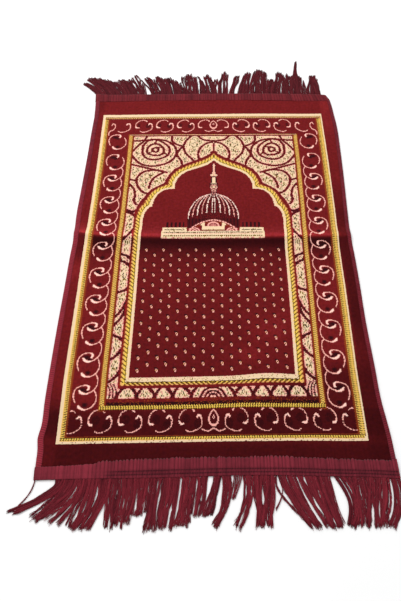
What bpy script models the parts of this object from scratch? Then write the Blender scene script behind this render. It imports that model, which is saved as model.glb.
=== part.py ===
"""Velvet prayer rug lying on a floor, with its overcast sides and its fringed ends.

The rug is five pieces: the pile cloth, an overcast binding down each long side, and a whip-stitched
heading with its fringe across each short end. +X runs across the rug, +Y towards the end that its
arch points to, and +Z up. The origin is on the floor, under the middle of the rug.
"""

from typing import NamedTuple

import bpy
import numpy as np

MM = 0.001

# Thicknesses and widths of the pieces
PIECE_GAP = 0.0004
CLOTH_THICKNESS = 0.004
HEADING_HEIGHT = 0.0055
LOCK_ROOT_HEIGHT = 0.0036
LOCK_TIP_HEIGHT = 0.0018
BINDING_HEIGHT = 0.0052
LEFT_BINDING_WIDTH = 0.012
RIGHT_BINDING_WIDTH = 0.009

# The crease left by folding the rug in half: a low ridge right across it
CREASE_HEIGHT = 0.005
CREASE_NEAR_SPREAD = 0.0185
CREASE_FAR_SPREAD = 0.015
CREASE_LIFT_FLOOR = 0.0003

# Slow unevenness of the pile's surface
RIPPLE_HEIGHT = 0.0004
RIPPLE_LENGTH_ACROSS = 0.21
RIPPLE_LENGTH_ALONG = 0.27

# How finely the cloth is divided
CLOTH_COLUMNS = 20
CREASE_ROWS = (0.0, 0.0045, 0.009, 0.0145, 0.022, 0.032, 0.050)
ROW_PITCH = 0.029
LAY_REPEATS = 12

# A lock of fringe: its share of the room at its root and tip, its steps and how late it leans
LOCK_PITCH = 0.0098
LOCK_ROOT_SHARE = 0.84
LOCK_TIP_SHARE = 0.60
LOCK_STEPS = 4
LOCK_BEND = 1.35
LOCK_UNEVENNESS = 0.05

# Raised ribs of the whip stitches along a heading, and how near its ends its seam side widens
RIB_HEIGHT = 0.0006
FLARE_POWER = 6


def named_table(columns: str, rows: list[tuple]) -> np.ndarray:
    """Makes a table with named columns from rows of millimetres, and gives it in metres."""
    kinds = [(name, float) for name in columns.split()]
    table = np.array(rows, dtype=kinds)
    for name, _ in kinds:
        table[name] *= MM
    return table


# The rug's outer side edges as it lies, at places along its length
SIDE_EDGES = named_table(
    "along left right",
    [
        (-527, -323, 337),
        (-495, -324, 335),
        (-470, -325, 334),
        (-448, -328, 333),
        (-425, -325, 331),
        (-375, -326, 326),
        (-300, -326, 324),
        (-200, -325, 321),
        (-100, -323, 321),
        (-25, -322, 320),
        (38, -320, 318),
        (100, -322, 320),
        (200, -320, 324),
        (300, -318, 327),
        (400, -317, 328),
        (450, -316, 325),
        (480, -317, 323),
        (500, -318, 320),
        (515, -319, 313),
        (545, -321, 300),
    ],
)

# The seams and the outer edges of the two headings, and the crest of the crease, across the rug
CROSS_LINES = named_table(
    "across near_edge near_seam crease far_seam far_edge",
    [
        (-325, -527, -504, 46, 512, 546),
        (-290, -526, -503, 45, 511, 541),
        (-200, -524, -498, 42, 511, 539),
        (-125, -523, -494, 40, 511, 537),
        (-50, -521, -491, 38, 510, 537),
        (50, -518, -490, 37, 508, 535),
        (150, -518, -490, 35, 504, 532),
        (225, -520, -493, 33, 500, 528),
        (290, -521, -495, 32, 497, 524),
        (340, -524, -496, 31, 496, 517),
    ],
)

# Bunches of fringe: where their roots and their tips start and end across the rug, and their reach
NEAR_BUNCHES = named_table(
    "root_from root_to tip_from tip_to reach",
    [
        (-323, -319, -356, -351, 44),
        (-283, -258, -366, -345, 56),
        (-257, -236, -324, -302, 72),
        (-235, -213, -292, -270, 78),
        (-212, -187, -245, -216, 85),
        (-186, -152, -194, -172, 82),
        (-151, -112, -166, -141, 78),
        (-111, -70, -120, -88, 86),
        (-69, -27, -80, -42, 88),
        (-26, 1, -30, -12, 74),
        (2, 40, -6, 20, 86),
        (44, 72, 42, 60, 88),
        (73, 114, 77, 105, 90),
        (117, 160, 160, 184, 88),
        (161, 202, 186, 202, 90),
        (203, 226, 208, 228, 90),
        (236, 276, 232, 254, 86),
        (277, 306, 258, 279, 84),
        (307, 335, 282, 304, 80),
    ],
)
FAR_BUNCHES = named_table(
    "root_from root_to tip_from tip_to reach",
    [
        (-319, -292, -364, -345, 52),
        (-291, -262, -341, -316, 72),
        (-261, -226, -296, -272, 62),
        (-225, -190, -262, -236, 66),
        (-181, -150, -214, -192, 78),
        (-149, -112, -178, -152, 72),
        (-111, -78, -142, -116, 73),
        (-77, -44, -84, -55, 82),
        (-43, -18, -47, -32, 74),
        (-17, 17, -26, 2, 76),
        (19, 46, 24, 46, 92),
        (49, 68, 64, 80, 80),
        (72, 104, 92, 116, 92),
        (105, 156, 120, 154, 94),
        (159, 196, 175, 200, 84),
        (199, 224, 203, 219, 72),
        (225, 246, 223, 243, 114),
        (248, 268, 249, 265, 70),
        (269, 301, 272, 293, 80),
    ],
)


class Finish(NamedTuple):
    """The plain material of a piece."""

    name: str
    colour: tuple[float, float, float]
    roughness: float


PILE = Finish("maroon_velvet_pile", (0.20, 0.014, 0.020), 0.85)
OVERCAST_YARN = Finish("maroon_overcast_yarn", (0.22, 0.022, 0.040), 0.70)
HEADING_YARN = Finish("maroon_heading_yarn", (0.19, 0.020, 0.042), 0.65)


def smooth_curve(at: np.ndarray, stations: np.ndarray, values: np.ndarray) -> np.ndarray:
    """Reads a smooth curve through a table: cubic pieces that share their slopes at each station."""
    slopes = np.gradient(values, stations)
    inside = np.clip(at, stations[0], stations[-1])
    piece = np.clip(np.searchsorted(stations, inside) - 1, 0, len(stations) - 2)
    span = stations[piece + 1] - stations[piece]
    step = (inside - stations[piece]) / span
    rest = 1 - step
    start_part = rest * rest * (1 + 2 * step)
    end_part = step * step * (1 + 2 * rest)
    start_slope_part = step * rest * rest * span
    end_slope_part = -step * step * rest * span
    return (
        start_part * values[piece]
        + end_part * values[piece + 1]
        + start_slope_part * slopes[piece]
        + end_slope_part * slopes[piece + 1]
    )


def side_edge(side: str, along: np.ndarray) -> np.ndarray:
    """Gives the x of the rug's left or right outer edge at places along it."""
    return smooth_curve(along, SIDE_EDGES["along"], SIDE_EDGES[side])


def cross_line(line: str, across: np.ndarray) -> np.ndarray:
    """Gives the y of one of the lines that run across the rug."""
    return smooth_curve(across, CROSS_LINES["across"], CROSS_LINES[line])


def lift(across: np.ndarray, along: np.ndarray) -> np.ndarray:
    """Gives how far the rug's underside is off the floor: a bell-shaped ridge under the crease."""
    away = along - cross_line("crease", across)
    spread = np.where(away < 0, CREASE_NEAR_SPREAD, CREASE_FAR_SPREAD)
    ridge = CREASE_HEIGHT * np.exp(-((away / spread) ** 2))
    return np.maximum(ridge - CREASE_LIFT_FLOOR, 0)


def ripple(across: np.ndarray, along: np.ndarray) -> np.ndarray:
    """Gives the slow unevenness of the pile, as two crossed waves."""
    turn = 2 * np.pi
    first = np.sin(turn * (across / RIPPLE_LENGTH_ACROSS + along / (2 * RIPPLE_LENGTH_ALONG)))
    second = np.sin(turn * (along / RIPPLE_LENGTH_ALONG - across / (3 * RIPPLE_LENGTH_ACROSS)) + 1)
    return RIPPLE_HEIGHT * (first + second) / 2


def row_fractions() -> np.ndarray:
    """Gives the cloth's rows from -1 at its near seam, through 0 on the crease, to 1 at its far seam."""
    halves = []
    for seam in ("near_seam", "far_seam"):
        middle = np.zeros(1)
        length = abs(cross_line(seam, middle) - cross_line("crease", middle))[0]
        rest = length - CREASE_ROWS[-1]
        even_rows = np.linspace(CREASE_ROWS[-1], length, round(rest / ROW_PITCH) + 1)[1:]
        halves.append(np.concatenate([CREASE_ROWS, even_rows]) / length)
    near, far = halves
    return np.concatenate([-near[::-1], far[1:]])


def lay(share: np.ndarray, row: np.ndarray, left: np.ndarray, right: np.ndarray) -> tuple:
    """Places points of the lying rug.

    A point stands at a share of the way between two lines that run inside the side edges, left and
    right metres in from them, and at a row fraction between the seams. The two depend on each other,
    so the place is found by a few repeats, starting from the middle of the rug.
    """
    x = np.zeros_like(row)
    y = np.zeros_like(row)
    for _ in range(LAY_REPEATS):
        crest = cross_line("crease", x)
        near = cross_line("near_seam", x) + PIECE_GAP
        far = cross_line("far_seam", x) - PIECE_GAP
        y = crest + np.where(row < 0, -row * (near - crest), row * (far - crest))
        start = side_edge("left", y) + left
        end = side_edge("right", y) - right
        x = start + share * (end - start)
    return x, y


def ring_faces(rings: int, points: int) -> list[tuple]:
    """Gives the quads between rings of points, each ring closed on itself, ring after ring."""
    faces = []
    for ring in range(rings - 1):
        for point in range(points):
            after = (point + 1) % points
            here = ring * points
            there = here + points
            faces.append((here + point, here + after, there + after, there + point))
    return faces


def add_piece(name: str, points: np.ndarray, faces: list[tuple], finish: Finish) -> bpy.types.Object:
    """Makes one closed piece with its material and gives its object."""
    mesh = bpy.data.meshes.new(name)
    mesh.from_pydata(points.tolist(), [], faces)
    mesh.validate()
    material = bpy.data.materials.new(finish.name)
    material.use_nodes = True
    shader = material.node_tree.nodes["Principled BSDF"]
    shader.inputs["Base Color"].default_value = (*finish.colour, 1)
    shader.inputs["Roughness"].default_value = finish.roughness
    shader.inputs["Metallic"].default_value = 0
    mesh.materials.append(material)
    piece = bpy.data.objects.new(name, mesh)
    bpy.context.scene.collection.objects.link(piece)
    return piece


def velvet_cloth() -> bpy.types.Object:
    """Makes the pile cloth: a grid of points for its face, one for its back, and a wall around."""
    rows = row_fractions()
    shares = np.linspace(0, 1, CLOTH_COLUMNS + 1)
    row, share = np.meshgrid(rows, shares, indexing="ij")
    x, y = lay(share, row, LEFT_BINDING_WIDTH + PIECE_GAP / 2, RIGHT_BINDING_WIDTH + PIECE_GAP / 2)
    back = lift(x, y)
    face = back + CLOTH_THICKNESS + ripple(x, y)
    points = np.concatenate([np.stack([x, y, z], axis=-1).reshape(-1, 3) for z in (face, back)])

    width = len(shares)
    height = len(rows)
    under = width * height
    faces = []
    for j in range(height - 1):
        for i in range(width - 1):
            corner = j * width + i
            quad = (corner, corner + 1, corner + width + 1, corner + width)
            faces.append(quad)
            faces.append(tuple(under + index for index in reversed(quad)))
    near_row = list(range(width))
    right_side = [j * width + width - 1 for j in range(1, height)]
    far_row = [(height - 1) * width + i for i in range(width - 2, -1, -1)]
    left_side = [j * width for j in range(height - 2, 0, -1)]
    rim = near_row + right_side + far_row + left_side
    for first, second in zip(rim, rim[1:] + rim[:1]):
        faces.append((first, under + first, under + second, second))
    return add_piece("velvet_cloth", points, faces, PILE)


def overcast_binding(name: str, side: str, width: float) -> bpy.types.Object:
    """Makes the overcast yarn down one long side: a flat-bottomed bead carried along the edge."""
    # Across the bead, from its outer foot over its top to its foot by the cloth, and its height there
    profile = (
        (0.06, 0.0),
        (0.0, 0.38),
        (0.12, 0.78),
        (0.38, 1.0),
        (0.68, 0.98),
        (0.92, 0.80),
        (1.0, 0.62),
        (1.0, 0.0),
    )
    rows = row_fractions()
    outward = np.array([point[0] for point in profile])
    upward = np.array([point[1] for point in profile])
    row, inset = np.meshgrid(rows, outward * (width - PIECE_GAP / 2), indexing="ij")
    nothing = np.zeros_like(row)
    if side == "left":
        x, y = lay(nothing, row, inset, nothing)
    else:
        x, y = lay(nothing + 1, row, nothing, inset)
    z = lift(x, y) + upward[None, :] * BINDING_HEIGHT
    points = np.stack([x, y, z], axis=-1).reshape(-1, 3)
    count = len(profile)
    faces = ring_faces(len(rows), count)
    faces.append(tuple(reversed(range(count))))
    faces.append(tuple(range((len(rows) - 1) * count, len(rows) * count)))
    if side == "right":
        faces = [tuple(reversed(face)) for face in faces]
    piece = add_piece(name, points, faces, OVERCAST_YARN)
    piece.data.shade_smooth()
    piece.data.set_sharp_from_angle(angle=np.radians(50))
    return piece


def lock_spans(bunches: np.ndarray) -> np.ndarray:
    """Gives a row for each lock of a fringe: its root's and its tip's two sides, and its reach."""
    spans = []
    for bunch in bunches:
        room = bunch["root_to"] - bunch["root_from"]
        count = max(1, round(room / LOCK_PITCH))
        root_pitch = room / count
        tip_pitch = (bunch["tip_to"] - bunch["tip_from"]) / count
        for lock in range(count):
            root = bunch["root_from"] + (lock + 0.5) * root_pitch
            tip = bunch["tip_from"] + (lock + 0.5) * tip_pitch
            half_root = root_pitch * LOCK_ROOT_SHARE / 2
            half_tip = tip_pitch * LOCK_TIP_SHARE / 2
            middle = 1 - abs(2 * (lock + 0.5) / count - 1)
            reach = bunch["reach"] * (1 + LOCK_UNEVENNESS * (middle - 0.5))
            spans.append((root - half_root, root + half_root, tip - half_tip, tip + half_tip, reach))
    return np.array(spans)


def heading_ends(line: str) -> np.ndarray:
    """Gives the x of the two places where a line across the rug meets its side edges."""
    found = []
    for side in ("left", "right"):
        x = np.zeros(1)
        for _ in range(LAY_REPEATS):
            x = side_edge(side, cross_line(line, x))
        found.append(x[0])
    return np.array(found)


def fringed_heading(name: str, end: str, bunches: np.ndarray) -> bpy.types.Object:
    """Makes a heading with its fringe.

    The heading is a profile carried across the rug, with a column of points at each side of each
    lock. Where a lock grows, the profile's outer wall is left open and the lock's four-sided tube
    starts from its corners. A lock's sides are curves from root to tip that never cross.
    """
    # Through the heading, from its seam with the cloth to its outer edge, and its height there
    profile = (
        (0.0, 0.0),
        (0.0, 0.72),
        (0.16, 1.0),
        (0.52, 0.98),
        (0.68, 0.72),
        (0.84, 0.80),
    )
    outer_top = LOCK_ROOT_HEIGHT / HEADING_HEIGHT
    through = np.array([point[0] for point in profile] + [1.0, 1.0])
    upward = np.array([point[1] for point in profile] + [outer_top, 0.0])
    ribbed = np.array([0.0, 0.3, 1.0, 1.0, 0.2, 0.4, 0.0, 0.0])
    outward = -1 if end == "near" else 1

    spans = lock_spans(bunches)
    ends = heading_ends(f"{end}_edge")
    seam_ends = heading_ends(f"{end}_seam")
    columns = np.concatenate([ends[:1], spans[:, :2].ravel(), ends[1:]])
    share = (columns - ends[0]) / (ends[1] - ends[0])
    left_flare = (1 - share) ** FLARE_POWER * (seam_ends[0] - ends[0])
    right_flare = share**FLARE_POWER * (seam_ends[1] - ends[1])
    flare = left_flare + right_flare

    x = columns[:, None] + flare[:, None] * (1 - through)[None, :]
    seam = cross_line(f"{end}_seam", x)
    outer = cross_line(f"{end}_edge", x)
    y = seam + through[None, :] * (outer - seam)
    rib = np.where(np.arange(len(columns)) % 2 == 0, RIB_HEIGHT, 0)
    z = upward[None, :] * HEADING_HEIGHT - rib[:, None] * ribbed[None, :]
    heading_points = np.stack([x, y, z], axis=-1).reshape(-1, 3)

    count = len(through)
    faces = []
    wall = count - 2
    for face in ring_faces(len(columns), count):
        column, point = divmod(face[0], count)
        lock_here = column % 2 == 1
        if not (lock_here and point == wall):
            faces.append(face)
    faces.append(tuple(reversed(range(count))))
    faces.append(tuple(range((len(columns) - 1) * count, len(columns) * count)))

    lock_points = []
    first_free = len(heading_points)
    for lock, (root_left, root_right, tip_left, tip_right, reach) in enumerate(spans):
        column = 1 + 2 * lock
        top_left = column * count + wall
        ring = [top_left, top_left + 1, top_left + 1 + count, top_left + count]
        root_y = heading_points[[top_left, top_left + count], 1].mean()
        for step in range(LOCK_STEPS):
            gone = (step + 1) / LOCK_STEPS
            leaned = gone**LOCK_BEND
            left = root_left + (tip_left - root_left) * leaned
            right = root_right + (tip_right - root_right) * leaned
            height = LOCK_ROOT_HEIGHT + (LOCK_TIP_HEIGHT - LOCK_ROOT_HEIGHT) * gone
            away = root_y + outward * reach * gone
            lock_points += [
                (left, away, height),
                (left, away, 0.0),
                (right, away, 0.0),
                (right, away, height),
            ]
            start = first_free + len(lock_points) - 4
            new_ring = [start, start + 1, start + 2, start + 3]
            for corner in range(4):
                after = (corner + 1) % 4
                faces.append((ring[corner], ring[after], new_ring[after], new_ring[corner]))
            ring = new_ring
        faces.append(tuple(ring))
    if end == "far":
        faces = [tuple(reversed(face)) for face in faces]
    points = np.concatenate([heading_points, np.array(lock_points)])
    return add_piece(name, points, faces, HEADING_YARN)


def main() -> None:
    """Clears the scene and makes the five pieces."""
    for item in list(bpy.data.objects):
        bpy.data.objects.remove(item)
    velvet_cloth()
    overcast_binding("left_overcast_binding", "left", LEFT_BINDING_WIDTH)
    overcast_binding("right_overcast_binding", "right", RIGHT_BINDING_WIDTH)
    fringed_heading("near_fringed_heading", "near", NEAR_BUNCHES)
    fringed_heading("far_fringed_heading", "far", FAR_BUNCHES)


main()
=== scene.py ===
"""Looks of a velvet prayer rug lying on a pale floor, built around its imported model.

The rug is a woven backing under cut pile, an overcast yarn edge down each long side, and a stitched
heading with loose fringe across each short end. +X runs across the rug, +Y towards the end that its
arch points to, and +Z up out of the pile. Places on the loom's chart are called u (across) and v
(along). Places on the floor are called x and y.
"""

import logging
from collections.abc import Sequence
from dataclasses import dataclass, field
from enum import Enum, IntEnum
from math import radians

import bpy
import numpy as np
from bpy.types import ColorRamp, Material, Node, NodeSocket, Object
from mathutils import Euler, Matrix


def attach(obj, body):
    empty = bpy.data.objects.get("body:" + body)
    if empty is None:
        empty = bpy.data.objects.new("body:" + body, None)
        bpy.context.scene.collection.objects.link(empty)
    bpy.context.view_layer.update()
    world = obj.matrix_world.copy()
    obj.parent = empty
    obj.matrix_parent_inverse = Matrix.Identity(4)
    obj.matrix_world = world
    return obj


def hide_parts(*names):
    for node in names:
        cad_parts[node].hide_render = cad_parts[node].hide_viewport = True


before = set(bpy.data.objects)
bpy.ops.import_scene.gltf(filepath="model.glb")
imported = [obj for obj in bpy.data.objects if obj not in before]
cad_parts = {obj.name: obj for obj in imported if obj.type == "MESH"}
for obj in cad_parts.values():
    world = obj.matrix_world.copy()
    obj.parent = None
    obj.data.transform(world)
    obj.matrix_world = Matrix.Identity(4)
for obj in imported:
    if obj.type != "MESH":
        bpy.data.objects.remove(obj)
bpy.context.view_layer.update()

Array = np.ndarray
LOG = logging.getLogger("prayer_rug")
MM = 0.001
BODY = "root"

# Thicknesses and widths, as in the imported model
PIECE_GAP = 0.4 * MM
CLOTH_THICKNESS = 4.0 * MM
HEADING_HEIGHT = 5.5 * MM
LOCK_ROOT_HEIGHT = 3.6 * MM
LOCK_TIP_HEIGHT = 1.8 * MM
BINDING_HEIGHT = 5.2 * MM
LEFT_BINDING_WIDTH = 12.0 * MM
RIGHT_BINDING_WIDTH = 9.0 * MM
# How many repeats settle a place on the lying rug
LAY_REPEATS = 12

# The woven chart: the size of one tuft, and half the width and length of the woven frame
TUFT = 1.6
HALF_WIDTH = 292.0
HALF_LENGTH = 455.2


def named_table(columns: str, rows: Sequence[tuple], unit: float = 1.0) -> Array:
    """Makes a structured array from its columns' names and its rows, with every number in a unit."""
    table = np.array(rows, dtype=[(name, float) for name in columns.split()])
    for name in columns.split():
        table[name] *= unit
    return table


def table_field(columns: str, rows: Sequence[tuple], unit: float = 1.0) -> Array:
    """Makes a dataclass field that holds such a table."""
    return field(default_factory=lambda: named_table(columns, rows, unit))


def smooth_curve(at: Array, stations: Array, values: Array) -> Array:
    """Reads a smooth curve, held at its ends, of cubic pieces that share their slope at each station."""
    slopes = np.gradient(values, stations)
    inside = np.clip(at, stations[0], stations[-1])
    piece = np.clip(np.searchsorted(stations, inside) - 1, 0, len(stations) - 2)
    span = stations[piece + 1] - stations[piece]
    step = (inside - stations[piece]) / span
    rest = 1 - step
    level = rest * rest * (1 + 2 * step) * values[piece] + step * step * (1 + 2 * rest) * values[piece + 1]
    return level + step * rest * span * (rest * slopes[piece] - step * slopes[piece + 1])


def ease(value: Array, start: float, end: float) -> Array:
    """Gives 0 before start and 1 after end, with a smooth S-shaped step between them."""
    step = np.clip((value - start) / (end - start), 0, 1)
    return step * step * (3 - 2 * step)


def rounded_path(points: Sequence[tuple], steps: int = 5) -> Array:
    """Makes a smooth open line through given points.

    Each pair of neighbours is joined by a cubic whose slopes are half the step between the points
    on either side of it (a Catmull-Rom line).

    Args:
        points: The points, each a tuple of the same length.
        steps: How many straight runs each pair is joined by.

    Returns:
        An array of points, as many columns as each tuple has numbers.
    """
    given = np.array(points, float)
    padded = np.concatenate([2 * given[:1] - given[1:2], given, 2 * given[-1:] - given[-2:-1]])
    share = np.linspace(0, 1, steps, endpoint=False)[None, :, None]
    before, start, end, after = (padded[k : len(padded) - 3 + k, None] for k in range(4))
    cubic = (
        start
        + 0.5 * share * (end - before)
        + share**2 * (before - 2.5 * start + 2 * end - 0.5 * after)
        + share**3 * (1.5 * start - 1.5 * end + 0.5 * after - 0.5 * before)
    )
    return np.concatenate([cubic.reshape(-1, given.shape[1]), given[-1:]])


class Lay:
    """How the rug lies: its edges, seams, crease and unevenness, in metres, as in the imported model."""

    SIDES = named_table("along left right", [
        (-527, -323, 337), (-495, -324, 335), (-470, -325, 334), (-448, -328, 333), (-425, -325, 331),
        (-375, -326, 326), (-300, -326, 324), (-200, -325, 321), (-100, -323, 321), (-25, -322, 320),
        (38, -320, 318), (100, -322, 320), (200, -320, 324), (300, -318, 327), (400, -317, 328),
        (450, -316, 325), (480, -317, 323), (500, -318, 320), (515, -319, 313), (545, -321, 300),
    ], MM)
    CROSS_LINES = named_table("across near_edge near_seam crease far_seam far_edge", [
        (-325, -527, -504, 46, 512, 546), (-290, -526, -503, 45, 511, 541),
        (-200, -524, -498, 42, 511, 539), (-125, -523, -494, 40, 511, 537), (-50, -521, -491, 38, 510, 537),
        (50, -518, -490, 37, 508, 535), (150, -518, -490, 35, 504, 532), (225, -520, -493, 33, 500, 528),
        (290, -521, -495, 32, 497, 524), (340, -524, -496, 31, 496, 517),
    ], MM)
    # How the woven chart is drawn out of true on the floor, in millimetres: sideways drift and bow,
    # the shift and slope along, and how far the outer parts of each half are pushed along
    WARP = named_table("along drift bow shift slope left right", [
        (-456, -1, 5.6, 1.2, 0.0145, -0.5, -3), (-420, -1.6, 5.7, -0.8, 0.014, 0, -2),
        (-383, -2.2, 5.8, 0.8, 0.014, 0.5, -3), (-318, -3.4, 5.8, -0.8, 0.018, 1.5, -2.5),
        (-240, -3, 5.8, 0.5, 0.011, 1, -1.5), (-160, -2.5, 5.8, -0.5, 0.0045, -0.3, -0.3),
        (-80, -2.3, 5.8, -1.7, -0.001, -0.5, 0.7), (0, -2.3, 5.6, -2, -0.008, 1.5, 1.5),
        (67, -0.8, 5.2, -0.8, -0.013, -2, 1), (140, 0.4, 4.9, 0, -0.017, -5, 0),
        (211, 1, 4.8, 0, -0.018, -4.2, 1), (283, 1.5, 4.7, 0, -0.019, -3, 1),
        (354, 1.2, 4.6, 0.2, -0.0195, -0.6, 0.5), (377, 1, 4.6, 0.4, -0.02, -0.3, 0.5),
        (410, 0.8, 4.5, 2, -0.018, 0, 1), (456, 0.5, 4.5, 1.8, -0.0155, -1, -3),
    ])
    OUTER_U = 248.5
    RUCKS = named_table("x y spread_x spread_y height", [(110, -314, 48, 24, 5), (70, -380, 60, 22, 2)], MM)
    # Places were read on the floor's plane, so the pile's height draws them towards the eye's foot
    EYE_FOOT = (17 * MM, -841 * MM)
    EYE_DRAW = 0.0041
    CREASE_HEIGHT = 5.0 * MM
    CREASE_NEAR_SPREAD = 18.5 * MM
    CREASE_FAR_SPREAD = 15.0 * MM
    CREASE_LIFT_FLOOR = 0.3 * MM
    RIPPLE_HEIGHT = 0.4 * MM
    RIPPLE_LENGTH_ACROSS = 210 * MM
    RIPPLE_LENGTH_ALONG = 270 * MM

    @classmethod
    def side_edge(cls, side: str, along: Array) -> Array:
        """Gives the x of the rug's left or right outer edge at places along it."""
        return smooth_curve(along, cls.SIDES["along"], cls.SIDES[side])

    @classmethod
    def cross_line(cls, line: str, across: Array) -> Array:
        """Gives the y of one of the lines that run across the rug."""
        return smooth_curve(across, cls.CROSS_LINES["across"], cls.CROSS_LINES[line])

    @classmethod
    def lift(cls, across: Array, along: Array) -> Array:
        """Gives how far the underside is off the floor: a bell-shaped ridge under the crease."""
        away = along - cls.cross_line("crease", across)
        spread = np.where(away < 0, cls.CREASE_NEAR_SPREAD, cls.CREASE_FAR_SPREAD)
        ridge = cls.CREASE_HEIGHT * np.exp(-((away / spread) ** 2))
        return np.maximum(ridge - cls.CREASE_LIFT_FLOOR, 0)

    @classmethod
    def ripple(cls, across: Array, along: Array) -> Array:
        """Gives the slow unevenness of the pile, as two crossed waves."""
        turn = 2 * np.pi
        long_way = along / cls.RIPPLE_LENGTH_ALONG
        first = np.sin(turn * (across / cls.RIPPLE_LENGTH_ACROSS + long_way / 2))
        second = np.sin(turn * (long_way - across / (3 * cls.RIPPLE_LENGTH_ACROSS)) + 1)
        return cls.RIPPLE_HEIGHT * (first + second) / 2

    @classmethod
    def lay(cls, share: Array, row: Array, left: Array, right: Array) -> tuple:
        """Places points of the lying rug between two lines that run inside its side edges.

        The place across and the place along depend on each other, so a few repeats find them.

        Args:
            share: How far across, from 0 at the left line to 1 at the right one.
            row: How far along, from -1 at the near seam, through 0 on the crease, to 1 at the far.
            left: How far the left line is inside the left edge.
            right: How far the right line is inside the right edge.

        Returns:
            The points' x and y.
        """
        x = np.zeros_like(row)
        y = np.zeros_like(row)
        for _ in range(LAY_REPEATS):
            crest = cls.cross_line("crease", x)
            near = cls.cross_line("near_seam", x) + PIECE_GAP
            far = cls.cross_line("far_seam", x) - PIECE_GAP
            y = crest + np.where(row < 0, -row * (near - crest), row * (far - crest))
            start = cls.side_edge("left", y) + left
            end = cls.side_edge("right", y) - right
            x = start + share * (end - start)
        return x, y

    @classmethod
    def warp(cls, u: Array, v: Array) -> tuple:
        """Gives the x and y, in metres, of places on the woven chart, in millimetres.

        Across, the chart is bowed towards +X and drifts with v. Along, it slopes by an amount that
        changes with v, its sides are pushed further, and rucks push up parts of the near end.
        """
        names = cls.WARP.dtype.names[1:]
        read = {name: smooth_curve(v, cls.WARP["along"], cls.WARP[name]) for name in names}
        x = (u + read["drift"] + read["bow"] * (1 - (u / HALF_WIDTH) ** 2)) * MM
        outer = np.minimum(np.abs(u) / cls.OUTER_U, 1) ** 3
        pushed = outer * np.where(u < 0, read["left"], read["right"])
        y = (v + read["shift"] + read["slope"] * u + pushed) * MM
        for ruck in cls.RUCKS:
            off_x = (x - ruck["x"]) / ruck["spread_x"]
            off_y = (y - ruck["y"]) / ruck["spread_y"]
            y = y + ruck["height"] * np.exp(-(off_x**2) - off_y**2)
        return x + cls.EYE_DRAW * (cls.EYE_FOOT[0] - x), y + cls.EYE_DRAW * (cls.EYE_FOOT[1] - y)


# Meshes


def grid_faces(rows: int, columns: int, start: int = 0, wrapped: bool = False) -> Array:
    """Gives the quads of a grid of points numbered along its rows, which may be closed on themselves."""
    last = columns if wrapped else columns - 1
    row = np.arange(rows - 1)[:, None] * columns + start
    here = np.arange(last)[None, :]
    after = (here + 1) % columns
    quads = [row + here, row + after, row + columns + after, row + columns + here]
    return np.stack(quads, axis=-1).reshape(-1, 4)


def add_object(name: str, data: bpy.types.ID) -> Object:
    """Makes an object of a mesh, a camera or a lamp and puts it in the scene."""
    made = bpy.data.objects.new(name, data)
    bpy.context.scene.collection.objects.link(made)
    return made


def build_piece(
    name: str, points: Array, faces: Sequence[Array], smooth: bool, crisp_from: float = 180
) -> Object:
    """Makes one object from arrays.

    Args:
        name: The object's name.
        points: An array of three coordinates a point, in metres.
        faces: Arrays of point numbers, one row a face, each array with faces of one size.
        smooth: Whether the faces are shaded smooth.
        crisp_from: The turn, in degrees, from which an edge between two smooth faces stays crisp.

    Returns:
        The object, at the origin.
    """
    mesh = bpy.data.meshes.new(name)
    mesh.vertices.add(len(points))
    mesh.vertices.foreach_set("co", np.ascontiguousarray(points, np.float32).ravel())
    totals = np.concatenate([np.full(len(group), group.shape[1]) for group in faces]).astype(np.int32)
    corners = np.concatenate([group.ravel() for group in faces]).astype(np.int32)
    mesh.loops.add(len(corners))
    mesh.loops.foreach_set("vertex_index", corners)
    mesh.polygons.add(len(totals))
    starts = np.concatenate([[0], np.cumsum(totals)[:-1]]).astype(np.int32)
    mesh.polygons.foreach_set("loop_start", starts)
    mesh.polygons.foreach_set("use_smooth", np.full(len(totals), smooth))
    mesh.update(calc_edges=True)
    mesh.validate()
    if crisp_from < 180:
        mesh.set_sharp_from_angle(angle=radians(crisp_from))
    return add_object(name, mesh)


def mark_faces(piece: Object, name: str, values: Array) -> None:
    """Keeps one number for each face of a piece, under a name that its finish reads."""
    layer = piece.data.attributes.new(name, "FLOAT", "FACE")
    layer.data.foreach_set("value", np.ascontiguousarray(values, np.float32))


def yarn_tubes(paths: Array, radii: Array, sides: int) -> tuple:
    """Carries a small polygon along many paths at once.

    The polygon's first axis is level and square to the path and its second is straight up, which
    suits yarns that lie nearly flat.

    Args:
        paths: Yarns by steps by three coordinates.
        radii: Yarns by steps.
        sides: How many sides the polygon has.

    Returns:
        The points, the side quads and the end caps.
    """
    yarns, steps, _ = paths.shape
    along = np.gradient(paths, axis=1)
    level = np.stack([-along[..., 1], along[..., 0], np.zeros((yarns, steps))], axis=-1)
    level /= np.maximum(np.linalg.norm(level, axis=-1, keepdims=True), 1e-9)
    turn = 2 * np.pi * (np.arange(sides) + 0.25) / sides
    up = np.array([0.0, 0.0, 1.0])
    ring = np.cos(turn)[:, None] * level[:, :, None, :] + np.sin(turn)[:, None] * up
    points = paths[:, :, None, :] + radii[:, :, None, None] * ring
    one = grid_faces(steps, sides, wrapped=True)[:, ::-1]
    first = np.arange(yarns)[:, None, None] * steps * sides
    quads = (first + one[None]).reshape(-1, 4)
    start_cap = (first[:, 0] + np.arange(sides)[None, :]).reshape(-1, sides)
    end_cap = (first[:, 0] + (steps - 1) * sides + np.arange(sides)[None, ::-1]).reshape(-1, sides)
    return points.reshape(-1, 3), quads, start_cap, end_cap


# The pattern on the loom's chart


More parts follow.
